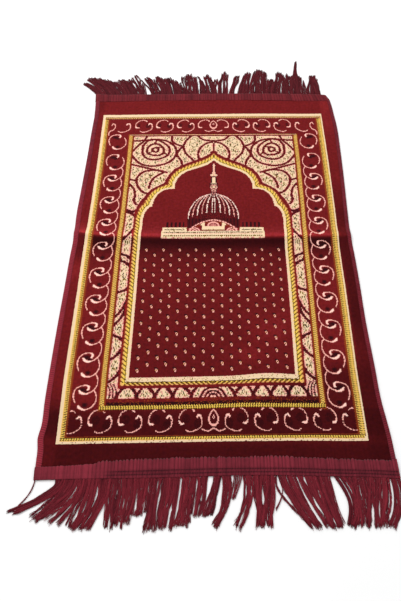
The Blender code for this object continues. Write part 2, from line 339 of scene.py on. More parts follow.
class Yarn(IntEnum):
    """The pile yarns, in the order that the pile's finish holds their dyes."""

    MAROON = 0
    DEEP = 1
    CHERRY = 2
    RUST = 3
    ROSE = 4
    CREAM = 5
    GOLD = 6
    OLIVE = 7
    PINE = 8
    STRAW = 9
    BROWN = 10
    PINK = 11
    SHELL = 12
    RED = 13


MAROON, DEEP, CHERRY, RUST, ROSE, CREAM, GOLD, OLIVE, PINE, STRAW, BROWN, PINK, SHELL, RED = Yarn
LETTERS = dict(zip("MDKRPCYOGSBN", Yarn))


class Chart:
    """Which yarn each tuft has, drawn for the right half of the rug and mirrored at the end.

    Places are in millimetres: u from the middle line to the right, v towards the far end.
    """

    def __init__(self) -> None:
        """Lays out the right half's tufts, all of them maroon."""
        self.across = np.arange(0, HALF_WIDTH - TUFT / 4, TUFT)
        self.along = np.arange(-HALF_LENGTH + TUFT / 2, HALF_LENGTH, TUFT)
        self.u, self.v = np.meshgrid(self.across, self.along)
        self.column, self.row = np.meshgrid(np.arange(len(self.across)), np.arange(len(self.along)))
        self.yarn = np.full(self.u.shape, MAROON, np.int8)
        self.random = np.random.default_rng(7)

    def paint(self, where: Array, yarn: Yarn) -> None:
        """Gives every tuft of a mask one yarn."""
        self.yarn[where] = yarn

    def chance(self) -> Array:
        """Draws a number from 0 to 1 for every tuft."""
        return self.random.random(self.u.shape)

    def band(self, low_u: float, high_u: float, low_v: float, high_v: float) -> Array:
        """Gives the mask of an upright rectangle."""
        return (self.u >= low_u) & (self.u < high_u) & (self.v >= low_v) & (self.v < high_v)

    def block(self, low_u: float, high_u: float, low_v: float, high_v: float, yarn: Yarn) -> None:
        """Fills an upright rectangle."""
        self.paint(self.band(low_u, high_u, low_v, high_v), yarn)

    def tile(self, where: Array, repeat: Sequence[str], row: Array, column: Array) -> None:
        """Fills a mask with a listed repeat, its rows counted round and its columns held."""
        yarns = np.array([[LETTERS[letter] for letter in line] for line in repeat])
        column = np.clip(column, 0, yarns.shape[1] - 1).astype(int)
        self.yarn[where] = yarns[row.astype(int) % len(yarns), column][where]

    def window(self, path: Array, room: float) -> tuple:
        """Gives the slices of the chart that hold a path with some room around it."""
        low = path.min(axis=0) - room
        high = path.max(axis=0) + room
        columns = np.searchsorted(self.across, [low[0], high[0]])
        rows = np.searchsorted(self.along, [low[1], high[1]])
        return slice(rows[0], rows[1]), slice(columns[0], columns[1])

    def reach(self, path: Array, area: tuple) -> tuple:
        """Measures tufts against a path of straight runs.

        Args:
            path: The path's points, in millimetres.
            area: The slices of the chart to measure, or an ellipsis for all of it.

        Returns:
            Each tuft's distance to the nearest run, and how far along the path that place is.
        """
        u = self.u[area][..., None]
        v = self.v[area][..., None]
        start = path[:-1]
        run = path[1:] - start
        length = np.maximum(np.hypot(run[:, 0], run[:, 1]), 1e-6)
        share = ((u - start[:, 0]) * run[:, 0] + (v - start[:, 1]) * run[:, 1]) / length**2
        share = np.clip(share, 0, 1)
        gap = np.hypot(u - start[:, 0] - share * run[:, 0], v - start[:, 1] - share * run[:, 1])
        best = gap.argmin(axis=-1)[..., None]
        passed = np.concatenate([[0], np.cumsum(length)[:-1]])
        gone = passed[best[..., 0]] + np.take_along_axis(share, best, -1)[..., 0] * length[best[..., 0]]
        return np.take_along_axis(gap, best, -1)[..., 0], gone

    def stroke(self, points: Sequence[tuple], width: float | Sequence[float], yarn: Yarn) -> None:
        """Draws a smooth line through given points, in one width or in one for each point."""
        widths = np.broadcast_to(np.asarray(width, float), (len(points),))
        path = rounded_path([(*point, wide) for point, wide in zip(points, widths)])
        area = self.window(path[:, :2], widths.max())
        if self.u[area].size:
            gap, gone = self.reach(path[:, :2], area)
            passed = np.cumsum(np.hypot(*np.diff(path[:, :2], axis=0).T))
            wide = np.interp(gone, np.concatenate([[0], passed]), path[:, 2])
            self.yarn[area][gap < wide / 2] = yarn

    def disc(self, u: float, v: float, radius_u: float, radius_v: float, yarn: Yarn) -> None:
        """Fills an upright oval."""
        self.paint(((self.u - u) / radius_u) ** 2 + ((self.v - v) / radius_v) ** 2 < 1, yarn)

    def inside(self, outline: Sequence[tuple]) -> Array:
        """Gives the mask of a closed outline by how often a level ray from a tuft crosses it."""
        corners = np.array(outline, float)
        found = np.zeros(self.u.shape, bool)
        for (u0, v0), (u1, v1) in zip(corners, np.roll(corners, -1, axis=0)):
            if v0 != v1:
                crosses = (self.v > min(v0, v1)) & (self.v <= max(v0, v1))
                found ^= crosses & (self.u < u0 + (self.v - v0) * (u1 - u0) / (v1 - v0))
        return found

    def speckle(self, where: Array, pitch: float, yarn: Yarn) -> None:
        """Scatters short upright flecks over a mask, about one to each square of the pitch."""
        seeds = self.chance() < (TUFT / pitch) ** 2
        flecks = seeds.copy()
        flecks[1:] |= seeds[:-1]
        longer = seeds & (self.chance() < 0.5)
        flecks[2:] |= longer[:-2]
        self.paint(flecks & where, yarn)

    def whole(self) -> Array:
        """Gives the yarn numbers of the whole chart: the right half and its mirror image."""
        return np.concatenate([self.yarn[:, :0:-1], self.yarn], axis=1)


@dataclass
class Frame:
    """The woven frame around the scroll border, and the guard stripe inside it, in millimetres."""

    cream_inner: float = 286.0
    rope_inner: float = 276.0
    top_cream: float = 445.2
    top_rope: float = 435.6
    bottom_cream: float = -450.4
    bottom_rope: float = -442.4
    guard_outer: float = 218.8
    guard_inner: float = 209.2
    guard_bottom: float = -389.6
    guard_bottom_inner: float = -380.0
    guard_top: float = 378.4
    guard_top_inner: float = 375.0
    # A line for each tuft along the rope, and in it a letter for each tuft from the rope's outer side
    # in, or from its far side
    frame_upright: tuple = ("YKKKSR", "SYYKKR", "YSYYYR")
    guard_upright: tuple = ("SKKSYR", "YSYKKR", "RYYSYR")
    frame_level: tuple = ("KKKKS", "KYYBY", "KYYYS")
    guard_level: tuple = ("KKKKOK", "KYYYYR", "YYKYOK")
    top_repeat: tuple = ("GSOOBB", "OCSOBR", "GSOSPB")
    head_repeat: tuple = ("RP", "RY", "BP")
    # The share of the near cream edge's tufts that the ground shows through
    worn_share: float = 0.08

    def draw(self, chart: Chart) -> None:
        """Draws the frame's cream edge and ropes, then the guard."""
        side = HALF_WIDTH + TUFT
        top = HALF_LENGTH + TUFT
        chart.block(self.cream_inner, side, -top, top, CREAM)
        chart.block(0, side, self.top_cream, top, CREAM)
        chart.block(0, side, -top, self.bottom_cream, CREAM)
        worn = chart.chance() < self.worn_share
        chart.paint(chart.band(0, side, -top, self.bottom_cream) & worn, MAROON)
        self.glow(chart, self.rope_inner - TUFT, self.rope_inner, self.bottom_rope, self.top_rope)
        self.glow(chart, 0, self.rope_inner, self.bottom_rope, self.bottom_rope + TUFT)
        frame_side = (self.rope_inner, self.cream_inner, self.bottom_rope, self.top_rope)
        self.upright_rope(chart, self.frame_upright, *frame_side)
        self.level_rope(chart, self.frame_level, self.bottom_cream, self.bottom_rope, self.cream_inner)
        self.level_rope(chart, self.top_repeat, self.top_rope, self.top_cream, self.cream_inner)
        inner, outer, low = self.guard_inner - TUFT, self.guard_outer + TUFT, self.guard_bottom - TUFT
        self.glow(chart, inner, outer, low, self.guard_top)
        inside = chart.band(0, self.guard_inner - TUFT, self.guard_bottom, self.guard_top)
        chart.paint(inside & (chart.v > self.guard_bottom_inner), MAROON)
        guard_side = (self.guard_inner, self.guard_outer, self.guard_bottom, self.guard_top)
        self.upright_rope(chart, self.guard_upright, *guard_side)
        self.level_rope(chart, self.guard_level, self.guard_bottom, self.guard_bottom_inner, self.guard_outer)
        self.guard_head(chart)

    def glow(self, chart: Chart, inner: float, outer: float, low: float, high: float) -> None:
        """Edges a rectangle with rust: two tufts of every three in it, and one of every three beside it."""
        chart.paint(chart.band(inner, outer, low, high) & ((chart.row + chart.column) % 3 > 0), RUST)
        beside = chart.band(inner - TUFT, outer + TUFT, low - TUFT, high)
        chart.paint(beside & ((chart.row + chart.column) % 3 == 0), RUST)

    def upright_rope(
        self, chart: Chart, repeat: Sequence[str], inner: float, outer: float, low: float, high: float
    ) -> None:
        """Draws a gold braid up one side: two columns of bright stitches, half a stitch apart."""
        where = chart.band(inner, outer, low, high)
        chart.tile(where, repeat, chart.row, (outer - chart.u) / TUFT)

    def level_rope(self, chart: Chart, repeat: Sequence[str], low: float, high: float, outer: float) -> None:
        """Draws a gold braid across, its rows of bright stitches half a stitch apart."""
        where = chart.band(0, outer, low, high)
        chart.tile(where, repeat, chart.column, (high - chart.v) / TUFT)

    def thin_right(self, yarns: Array) -> None:
        """Moves the right rope two tufts out over the cream edge, which is thinner there."""
        rows = slice(6, -6)
        yarns[rows, -4:-2] = yarns[rows, -7:-5]

    def guard_head(self, chart: Chart) -> None:
        """Draws the guard's thin far stripe, rose and gold between two deep lines."""
        low = self.guard_top_inner - TUFT
        chart.block(0, self.guard_outer, low, self.guard_top + TUFT, DEEP)
        stripe = chart.band(0, self.guard_outer, self.guard_top_inner, self.guard_top)
        chart.tile(stripe, self.head_repeat, chart.column, (self.guard_top - chart.v) / TUFT)


@dataclass
class ScrollBorder:
    """The running scrolls between the frame and the guard, in millimetres.

    Down each side interlocking hooked rings repeat, and across each end there are single scrolls,
    with a drop-shaped motif on the middle line.
    """

    middle: float = 248.5
    first_ring: float = 350.0
    first_hooked: int = 2
    ring_pitch: float = 71.25
    ring_count: int = 11
    top: float = 432.0
    top_centres: tuple = (73.0, 128.0, 183.0)
    top_half_centre: float = 18.0
    top_corner_centre: float = 240.0
    bottom: float = -388.0
    bottom_centres: tuple = (44.0, 101.0, 158.0, 214.5)
    bottom_half_centre: float = 270.5
    bottom_loss: float = 0.12
    # A line this wide or narrower is all rose, and a wider one has a pale heart
    heart_rim: float = 2.7
    # Each line's places from its scroll's middle, with its width there
    outer_arc: tuple = (
        (17.2, -10.5, 2), (20.6, -1, 2.1), (21.3, 8, 2.1), (19, 17.5, 2.1), (13, 24, 2.1), (5.5, 26.8, 2.1),
        (-1.5, 27, 2.6), (-5.5, 25.5, 4.4), (-7, 21.5, 5.4), (-5.6, 17.5, 4.2),
    )
    hook: tuple = (
        (10.5, 15, 4.4), (8, 11.5, 5.6), (3.5, 8.8, 5.2), (-1.5, 8, 4.2), (-6.5, 9.5, 2.8),
        (-11.5, 12, 2.1), (-16.5, 16.5, 2), (-20.5, 22.5, 2), (-23, 31, 2), (-23.2, 38.5, 2.1),
        (-21, 46.5, 2.1), (-17, 52, 2),
    )
    inner_arc: tuple = (
        (-17.5, 16.5, 2), (-21.3, 8, 2.1), (-22.8, -1, 2.1), (-21.8, -10, 2.1), (-18, -17, 2.1),
        (-12.5, -22, 2.2), (-6.5, -24.6, 2.4), (-0.5, -25, 3.4), (4.5, -23.4, 5), (8.5, -20.2, 5.6),
        (10, -17.6, 4.6),
    )
    # Shaded spots inside a ring, and inside an end's scroll: place and half size
    ring_shades: tuple = ((5, 17, 9, 5.5), (-1, 12.5, 6, 3.5), (-2, -16, 6, 5))
    top_shades: tuple = ((-11, -23, 6, 8), (13, -20, 4, 7))
    bottom_shades: tuple = ((-13, -30, 7, 9), (8, -20, 8, 9))
    end_hook: tuple = (
        (-12, -18, 3.2), (-15, -13.5, 4.2), (-19.5, -15.5, 3.6), (-22, -25, 2.2), (-20, -35, 2.1),
        (-13, -41, 2.1), (-5, -45, 2.1), (3, -45.5, 2.2), (9, -42, 2.1),
    )
    end_arc: tuple = (
        (-7, -5, 3.2), (-3, -1.2, 2.3), (5, -0.6, 2.1), (14, -4.4, 2.1), (20, -12, 2.2), (22, -21, 2.4),
        (19, -29, 4.6), (13, -29.5, 3),
    )

    def draw(self, chart: Chart) -> None:
        """Draws the rings, the scrolls of both ends and the drops."""
        for ring in range(self.ring_count):
            self.ring(chart, self.first_ring - ring * self.ring_pitch, ring >= self.first_hooked)
        for centres, level, shades in (
            (self.top_centres, self.top, self.top_shades),
            (self.bottom_centres, self.bottom, self.bottom_shades),
        ):
            for centre in centres:
                for across, along, half_across, half_along in shades:
                    chart.disc(centre + across, level + along, half_across, half_along, DEEP)
                self.trail(chart, self.end_hook, centre, level)
                self.trail(chart, self.end_arc, centre, level)
        self.trail(chart, self.end_arc, self.top_half_centre, self.top)
        self.trail(chart, self.end_hook, self.top_corner_centre, self.top)
        self.corner(chart)
        self.trail(chart, self.end_hook, self.bottom_half_centre, self.bottom)
        chart.stroke([(263, -393), (267, -390), (275, -390)], 2.1, ROSE)
        lost = (chart.chance() < self.bottom_loss) & (chart.v < self.bottom - 2)
        chart.paint(lost & (chart.yarn != SHELL), MAROON)
        self.drop(chart, self.top - 18, 14)
        self.drop(chart, self.bottom - 18, 15)
        self.wavelet(chart, self.top - 41)
        self.wavelet(chart, self.bottom - 42)

    def trail(self, chart: Chart, line: Sequence[tuple], u: float, v: float) -> None:
        """Draws one scroll line from a place: rose, with a shell-pale heart where it is thick."""
        points = [(u + across, v + along) for across, along, _ in line]
        widths = np.array([width for _, _, width in line])
        chart.stroke(points, widths, ROSE)
        chart.stroke(points, widths - self.heart_rim, SHELL)

    def ring(self, chart: Chart, centre: float, hooked: bool) -> None:
        """Draws one ring of the side border, with or without a hook that climbs to the next."""
        u = self.middle
        for across, along, half_across, half_along in self.ring_shades:
            chart.disc(u + across, centre + along, half_across, half_along, DEEP)
            chart.disc(u + across, centre + along, half_across * 0.55, half_along * 0.6, CHERRY)
        self.trail(chart, self.outer_arc, u, centre)
        self.trail(chart, self.inner_arc, u, centre)
        if hooked:
            self.trail(chart, self.hook, u, centre)

    def corner(self, chart: Chart) -> None:
        """Draws the far corner's second hook and the dash that leads to the side border."""
        chart.stroke([(267, 411), (264, 418), (259, 415), (257.5, 405), (262, 395), (270, 390)], 2.4, ROSE)
        chart.stroke([(270, 390), (273, 383), (272, 374)], 2.1, ROSE)

    def drop(self, chart: Chart, middle: float, half_length: float) -> None:
        """Draws a drop: a pointed ring with a heavy foot and a small diamond inside."""
        h = half_length
        outline = [(0, h), (5, h * 0.62), (8.6, h * 0.05), (8.2, -h * 0.5), (4.4, -h * 0.92), (0, -h)]
        chart.stroke([(u, middle + v) for u, v in outline], (2.4, 2.2, 2.4, 2.8, 4.0, 4.4), ROSE)
        chart.paint(chart.u / 3.0 + np.abs(chart.v - middle - 1) / 3.6 < 1, ROSE)
        chart.paint(chart.u / 1.4 + np.abs(chart.v - middle - 1) / 1.7 < 1, DEEP)

    def wavelet(self, chart: Chart, level: float) -> None:
        """Draws the low wave under a drop."""
        points = [(0, level + 3), (5, level), (11, level - 3), (17, level - 1.5), (22, level + 1)]
        chart.stroke(points, 2.0, ROSE)


@dataclass
class Arch:
    """The pointed, lobed arch around the niche, in millimetres on its right half.

    Its table follows the band's inner and outer edge together, from the point down to the foot.
    """

    edges: Array = table_field("inner_u inner_v outer_u outer_v", [
        (0, 282, 0, 306), (7, 274.5, 9, 296), (15, 267.5, 20, 287), (31, 259, 40, 276), (50, 251, 61, 266),
        (66, 244, 77, 257), (80, 233, 91, 247), (90, 218, 103, 231), (95, 203, 110, 214),
        (96, 185, 113, 199), (108, 185, 121, 196), (123, 180, 136, 188), (135, 168, 149, 176),
        (143, 151, 158, 159), (147, 129, 166, 141), (153, 126, 171, 133), (159, 117, 175.5, 123),
        (163.5, 106, 179.3, 110), (165.2, 92, 181.6, 94), (165.2, -319, 181.6, -336),
    ])
    cream_share: float = 0.41
    foot_cream: float = -328.0
    outline_width: float = 8.0
    strip_edge: float = 186.4
    strip_top: float = 104.0
    twist: float = 6 * TUFT

    def line(self, share: float) -> Array:
        """Gives a line through the band, 0 at its inner edge and 1 at its outer edge."""
        inner = np.stack([self.edges["inner_u"], self.edges["inner_v"]], axis=-1)
        outer = np.stack([self.edges["outer_u"], self.edges["outer_v"]], axis=-1)
        return inner + share * (outer - inner)

    def outline(self, share: float) -> Array:
        """Closes such a line along its foot and up the middle line."""
        side = self.line(share)
        return np.concatenate([side, [(-9, side[-1, 1]), (-9, side[0, 1])]])

    def draw(self, chart: Chart) -> Array:
        """Draws the maroon outline, the twisted gold rope, the cream line and the bare niche.

        Returns:
            The mask of everything from the maroon outline inwards.
        """
        size = np.hypot(*(self.line(1)[10] - self.line(0)[10]))
        around = chart.inside(self.outline(1 + self.outline_width / size))
        around &= (chart.u < self.strip_edge) | (chart.v > self.strip_top)
        rope = chart.inside(self.outline(1))
        cream = chart.inside(self.outline(self.cream_share))
        foot = chart.band(0, self.line(self.cream_share)[-1, 0], self.foot_cream, 0)
        cream |= rope & foot
        niche = chart.inside(self.outline(0))
        chance = chart.chance()
        chart.paint(around, MAROON)
        chart.paint(around & (chart.u > self.line(1)[-1, 0]) & (chance < 0.35), RED)
        chart.paint(chart.inside(self.outline(1 + TUFT / size)) & (chance < 0.66), RUST)
        chart.paint(rope, GOLD)
        self.twist_rope(chart, rope & ~cream)
        chart.paint(cream, CREAM)
        beside_rope = cream & ~chart.inside(self.outline(self.cream_share - 1.5 * TUFT / size))
        chart.paint(beside_rope & (chart.v > self.foot_cream + 8) & (chance < 0.45), GOLD)
        chart.paint(cream & (chart.v < self.foot_cream + 9) & (chance < 0.12), OLIVE)
        chart.paint(chart.inside(self.outline(TUFT / size)) & (chance < 0.25), ROSE)
        chart.paint(niche, MAROON)
        return around

    def twist_rope(self, chart: Chart, where: Array) -> None:
        """Draws the rope's twist: slanted olive bars, and an olive shadow where it meets the cream.

        A bar lies where the distance along the rope plus that through it falls in the first part of
        a twist. The foot's bars slant the other way.
        """
        side = self.line((1 + self.cream_share) / 2)
        path = np.concatenate([side, [(0, side[-1, 1])]])
        gap, gone = chart.reach(path, ...)
        sign = np.where(chart.inside(self.outline((1 + self.cream_share) / 2)), -1, 1)
        at_foot = (chart.v < side[-1, 1] + 6) & (chart.u < side[-1, 0] - 3)
        slant = np.where(at_foot, -1.1, 1.1)
        phase = (gone + slant * sign * gap) % self.twist
        chart.paint(where & (sign * gap > 2.0), STRAW)
        chart.paint(where & (phase < np.where(at_foot, 0.55, 0.30) * self.twist), OLIVE)
        chart.paint(where & (phase < np.where(at_foot, 0.34, 0.14) * self.twist), BROWN)
        chart.paint(where & (sign * gap < -3.6) & (phase > 0.2 * self.twist) & ~at_foot, OLIVE)
        chart.paint(where & (chart.v > self.foot_cream - 1.8) & at_foot, BROWN)
        chart.paint(where & (sign * gap > 3.8) & (phase < 0.6 * self.twist), RUST)


@dataclass
class RosePanel:
    """The cream panel around the arch: ringed roses and leaves drawn by deep lines, in millimetres.

    The roses, ovals and leaves are of this rug's own design, mirrored about the middle line.
    """

    side: float = 205.0
    head: float = 371.0
    strip_inner: float = 186.4
    dark_lines_below: float = 130.0
    strip_low: float = -343.0
    foot: float = -366.0
    foot_ground: float = -380.0
    line_width: float = 6.2
    rose: tuple = (149.0, 321.0)
    rose_rings: tuple = (8.0, 21.5, 35.5)
    fleck_pitch: float = 5.6
    # Where the slanted lines of the side strip cross its inner and its outer edge
    strip_lines: tuple = (
        (100, 114), (56, 28), (-24, -12), (-44, -30), (-106, -116), (-140, -180), (-160, -200),
        (-236, -222), (-256, -280), (-306, -330),
    )
    # Where the lines of the foot strip cross its upper and its lower edge
    foot_lines: tuple = (
        (30, 44), (58, 40), (66, 80), (92, 78), (100, 116), (128, 110), (136, 150), (160, 148), (172, 190),
    )

    def draw(self, chart: Chart, arch: Array) -> None:
        """Draws the panel everywhere inside its edges but under the arch."""
        panel = chart.band(0, self.side, self.strip_low, self.head) & ~arch
        foot = chart.band(0, self.side, self.foot, self.strip_low) & ~arch
        cream = panel | foot
        drawn = chart.yarn
        chart.yarn = np.full(chart.u.shape, CREAM, np.int8)
        self.rose_head(chart)
        self.leaves(chart)
        self.strip(chart)
        self.foot_strip(chart)
        lines = chart.yarn != CREAM
        chart.yarn = drawn
        chart.paint(cream, CREAM)
        chart.paint(cream & lines, DEEP)
        self.blush(chart, cream, lines | ~cream)
        chart.block(0, self.side, self.foot_ground, self.foot, MAROON)
        chart.block(0, self.side, self.foot_ground, self.foot_ground + 6, CHERRY)
        rusty = chart.chance() < 0.12
        chart.paint(chart.band(0, self.side, self.foot_ground, self.foot) & rusty, RUST)

    def grow(self, mask: Array) -> Array:
        """Gives the mask with the tufts beside it."""
        wide = np.pad(mask, 1)
        return mask | wide[2:, 1:-1] | wide[:-2, 1:-1] | wide[1:-1, 2:] | wide[1:-1, :-2]

    def blush(self, chart: Chart, cream: Array, lines: Array) -> None:
        """Dresses the cream: rose beside the lines, fading inwards, and dark flecks in the open parts.

        Some of the tufts at a line's rim are maroon, so that the line's edge is uneven.
        """
        beside = self.grow(lines)
        near = self.grow(beside)
        free = cream & ~lines
        chance = chart.chance()
        chart.paint(free & near & (chance < 0.30), ROSE)
        chart.paint(free & beside & (chance < 0.66), ROSE)
        chart.paint(free & beside & (chance < 0.22), MAROON)
        low = chart.v < self.dark_lines_below
        chart.paint(free & near & low & (chance > 0.80), PINK)
        chart.paint(free & low & (chance > 0.95), PINK)
        chart.paint(cream & lines & (chance > np.where(low, 0.70, 0.35)), MAROON)
        chart.paint(cream & lines & low & (chance < 0.34), CHERRY)
        inner = free & ~near
        chart.speckle(inner, self.fleck_pitch, OLIVE)
        chart.speckle(inner, self.fleck_pitch * 1.25, PINE)
        chart.speckle(inner, self.fleck_pitch * 2.2, CHERRY)
        chart.speckle(free, self.fleck_pitch * 2.4, PINK)

    def rose_head(self, chart: Chart) -> None:
        """Draws a rose: rings about one centre, each a little out of round, with petal breaks."""
        centre = np.array(self.rose)
        for number, radius in enumerate(self.rose_rings):
            turn = np.linspace(0, 2 * np.pi, 13)
            swell = 1 + 0.06 * np.cos(3 * turn + 1.3 * number) + 0.04 * np.cos(2 * turn - number)
            ring = centre + (radius * swell)[:, None] * np.stack([np.cos(turn), np.sin(turn)], -1)
            chart.stroke([tuple(point) for point in ring], self.line_width, MAROON)
        for turn_degrees, start, end in ((80, 21, 36), (200, 21, 36), (320, 9, 22), (135, 9, 22)):
            reach = np.array([start, (start + end) / 2, end])
            bend = radians(turn_degrees) + 0.018 * (reach - start)
            spoke = centre + reach[:, None] * np.stack([np.cos(bend), np.sin(bend)], -1)
            chart.stroke([tuple(point) for point in spoke], 4.0, MAROON)

    def leaves(self, chart: Chart) -> None:
        """Draws the ovals and leaves that fill the panel round the rose."""
        lines = (
            [(206, 354), (178, 356), (148, 360), (120, 352), (101, 334), (95, 312), (101, 290), (117, 273)],
            [(117, 273), (139, 265), (163, 264), (184, 272), (197, 286), (206, 300)],
            [(206, 318), (193, 338), (181, 352), (172, 372)],
            [(107, 372), (108, 356), (98, 342), (79, 333)],
            [(79, 333), (88, 320), (94, 305)],
            [(0, 353), (20, 355), (33, 362), (40, 372)],
            [(57, 372), (71, 354), (77, 333), (72, 309), (56, 287), (50, 276)],
            [(4, 349), (21, 342), (34, 327), (40, 308), (38, 288), (34, 280)],
            [(0, 342), (0, 312)],
            [(95, 300), (85, 286), (80, 268), (82, 258)],
            [(118, 241), (133, 246), (150, 251), (165, 256), (182, 262), (206, 270)],
            [(141, 249), (168, 246), (184, 234), (190, 214), (184, 193), (172, 176), (160, 170)],
            [(126, 240), (146, 224), (155, 206), (158, 188)],
            [(206, 219), (190, 213)],
            [(206, 203), (194, 186), (190, 165), (191, 148), (185, 136)],
            [(206, 120), (191, 113), (183, 118)],
        )
        for line in lines:
            chart.stroke(line, self.line_width, MAROON)
        chart.disc(0, 331, 2.4, 8, MAROON)
        chart.disc(0, 308, 9, 9, MAROON)

    def strip(self, chart: Chart) -> None:
        """Draws the narrow side strip: slanted lines that part it into leaning leaves."""
        for inner_v, outer_v in self.strip_lines:
            middle_v = (inner_v + outer_v) / 2 + 0.12 * (outer_v - inner_v)
            middle_u = (self.side + self.strip_inner) / 2
            points = [(self.strip_inner - 3, inner_v), (middle_u, middle_v), (self.side + 3, outer_v)]
            chart.stroke(points, (10.0, 5.4, 8.0), MAROON)

    def foot_strip(self, chart: Chart) -> None:
        """Draws the strip across the foot: leaves between slanted lines, with a fan in the middle."""
        below = (chart.v < self.strip_low) & (chart.u < self.side - 14)
        for number, (upper_u, lower_u) in enumerate(self.foot_lines):
            middle_u = (upper_u + lower_u) / 2 + 3 * (-1) ** number
            middle_v = (self.strip_low + self.foot) / 2
            points = [(upper_u, self.strip_low + 4), (middle_u, middle_v), (lower_u, self.foot - 3)]
            widths = (9.0, 6.0, 5.0) if number % 2 else (5.0, 6.0, 9.0)
            chart.stroke(points, widths, MAROON)
        for inner_u in (189.0, 195.0, 201.0):
            chart.stroke([(inner_u + 5, -334), (inner_u - 1, -350), (inner_u + 1, -369)], 2.6, MAROON)
        for radius in (8.0, 15.5, 23.5):
            arc = np.hypot(chart.u, (chart.v - self.foot) * 1.05) - radius
            chart.paint(below & (np.abs(arc) < 2.3), MAROON)


@dataclass
class DottedField:
    """The small diamonds over the lower niche, each a ring with a dark heart and a dark cap of painted shadow
    above it.

    One diamond is charted tuft by tuft and stamped, the same way round, at the tufts nearest to its
    places, so that its painted shadow falls the same way on every one.
    """

    pitch_across: float = 37.6
    pitch_along: float = 27.5
    first_row: float = -2.0
    rows: int = 12
    side: float = 158.0
    # Its top rows of K are a cap of painted shadow
    diamond: tuple = (
        "KKKK...",
        ".KKKK..",
        ".KNPK..",
        "..PBS..",
        "..SKPB.",
        "..BPP..",
        "...PN..",
        "...B...",
    )

    def draw(self, yarns: Array) -> None:
        """Draws the main rows and the rows that stand halfway between them, on the whole chart."""
        columns = int(self.side / self.pitch_across)
        for shift, rows in ((0.0, self.rows), (0.5, self.rows - 1)):
            across = (np.arange(-columns, columns + 1 - 2 * shift) + shift) * self.pitch_across
            along = self.first_row - (np.arange(rows) + shift) * self.pitch_along
            for v in along:
                for u in across:
                    self.stamp(yarns, u, v)

    def stamp(self, yarns: Array, u: float, v: float) -> None:
        """Charts one diamond around a place."""
        middle_column = round(u / TUFT) + yarns.shape[1] // 2
        middle_row = round((v + HALF_LENGTH) / TUFT - 0.5)
        for down, line in enumerate(self.diamond):
            for right, letter in enumerate(line):
                if letter in LETTERS:
                    column = middle_column + right - len(line) // 2
                    yarns[middle_row + 4 - down, column] = LETTERS[letter]


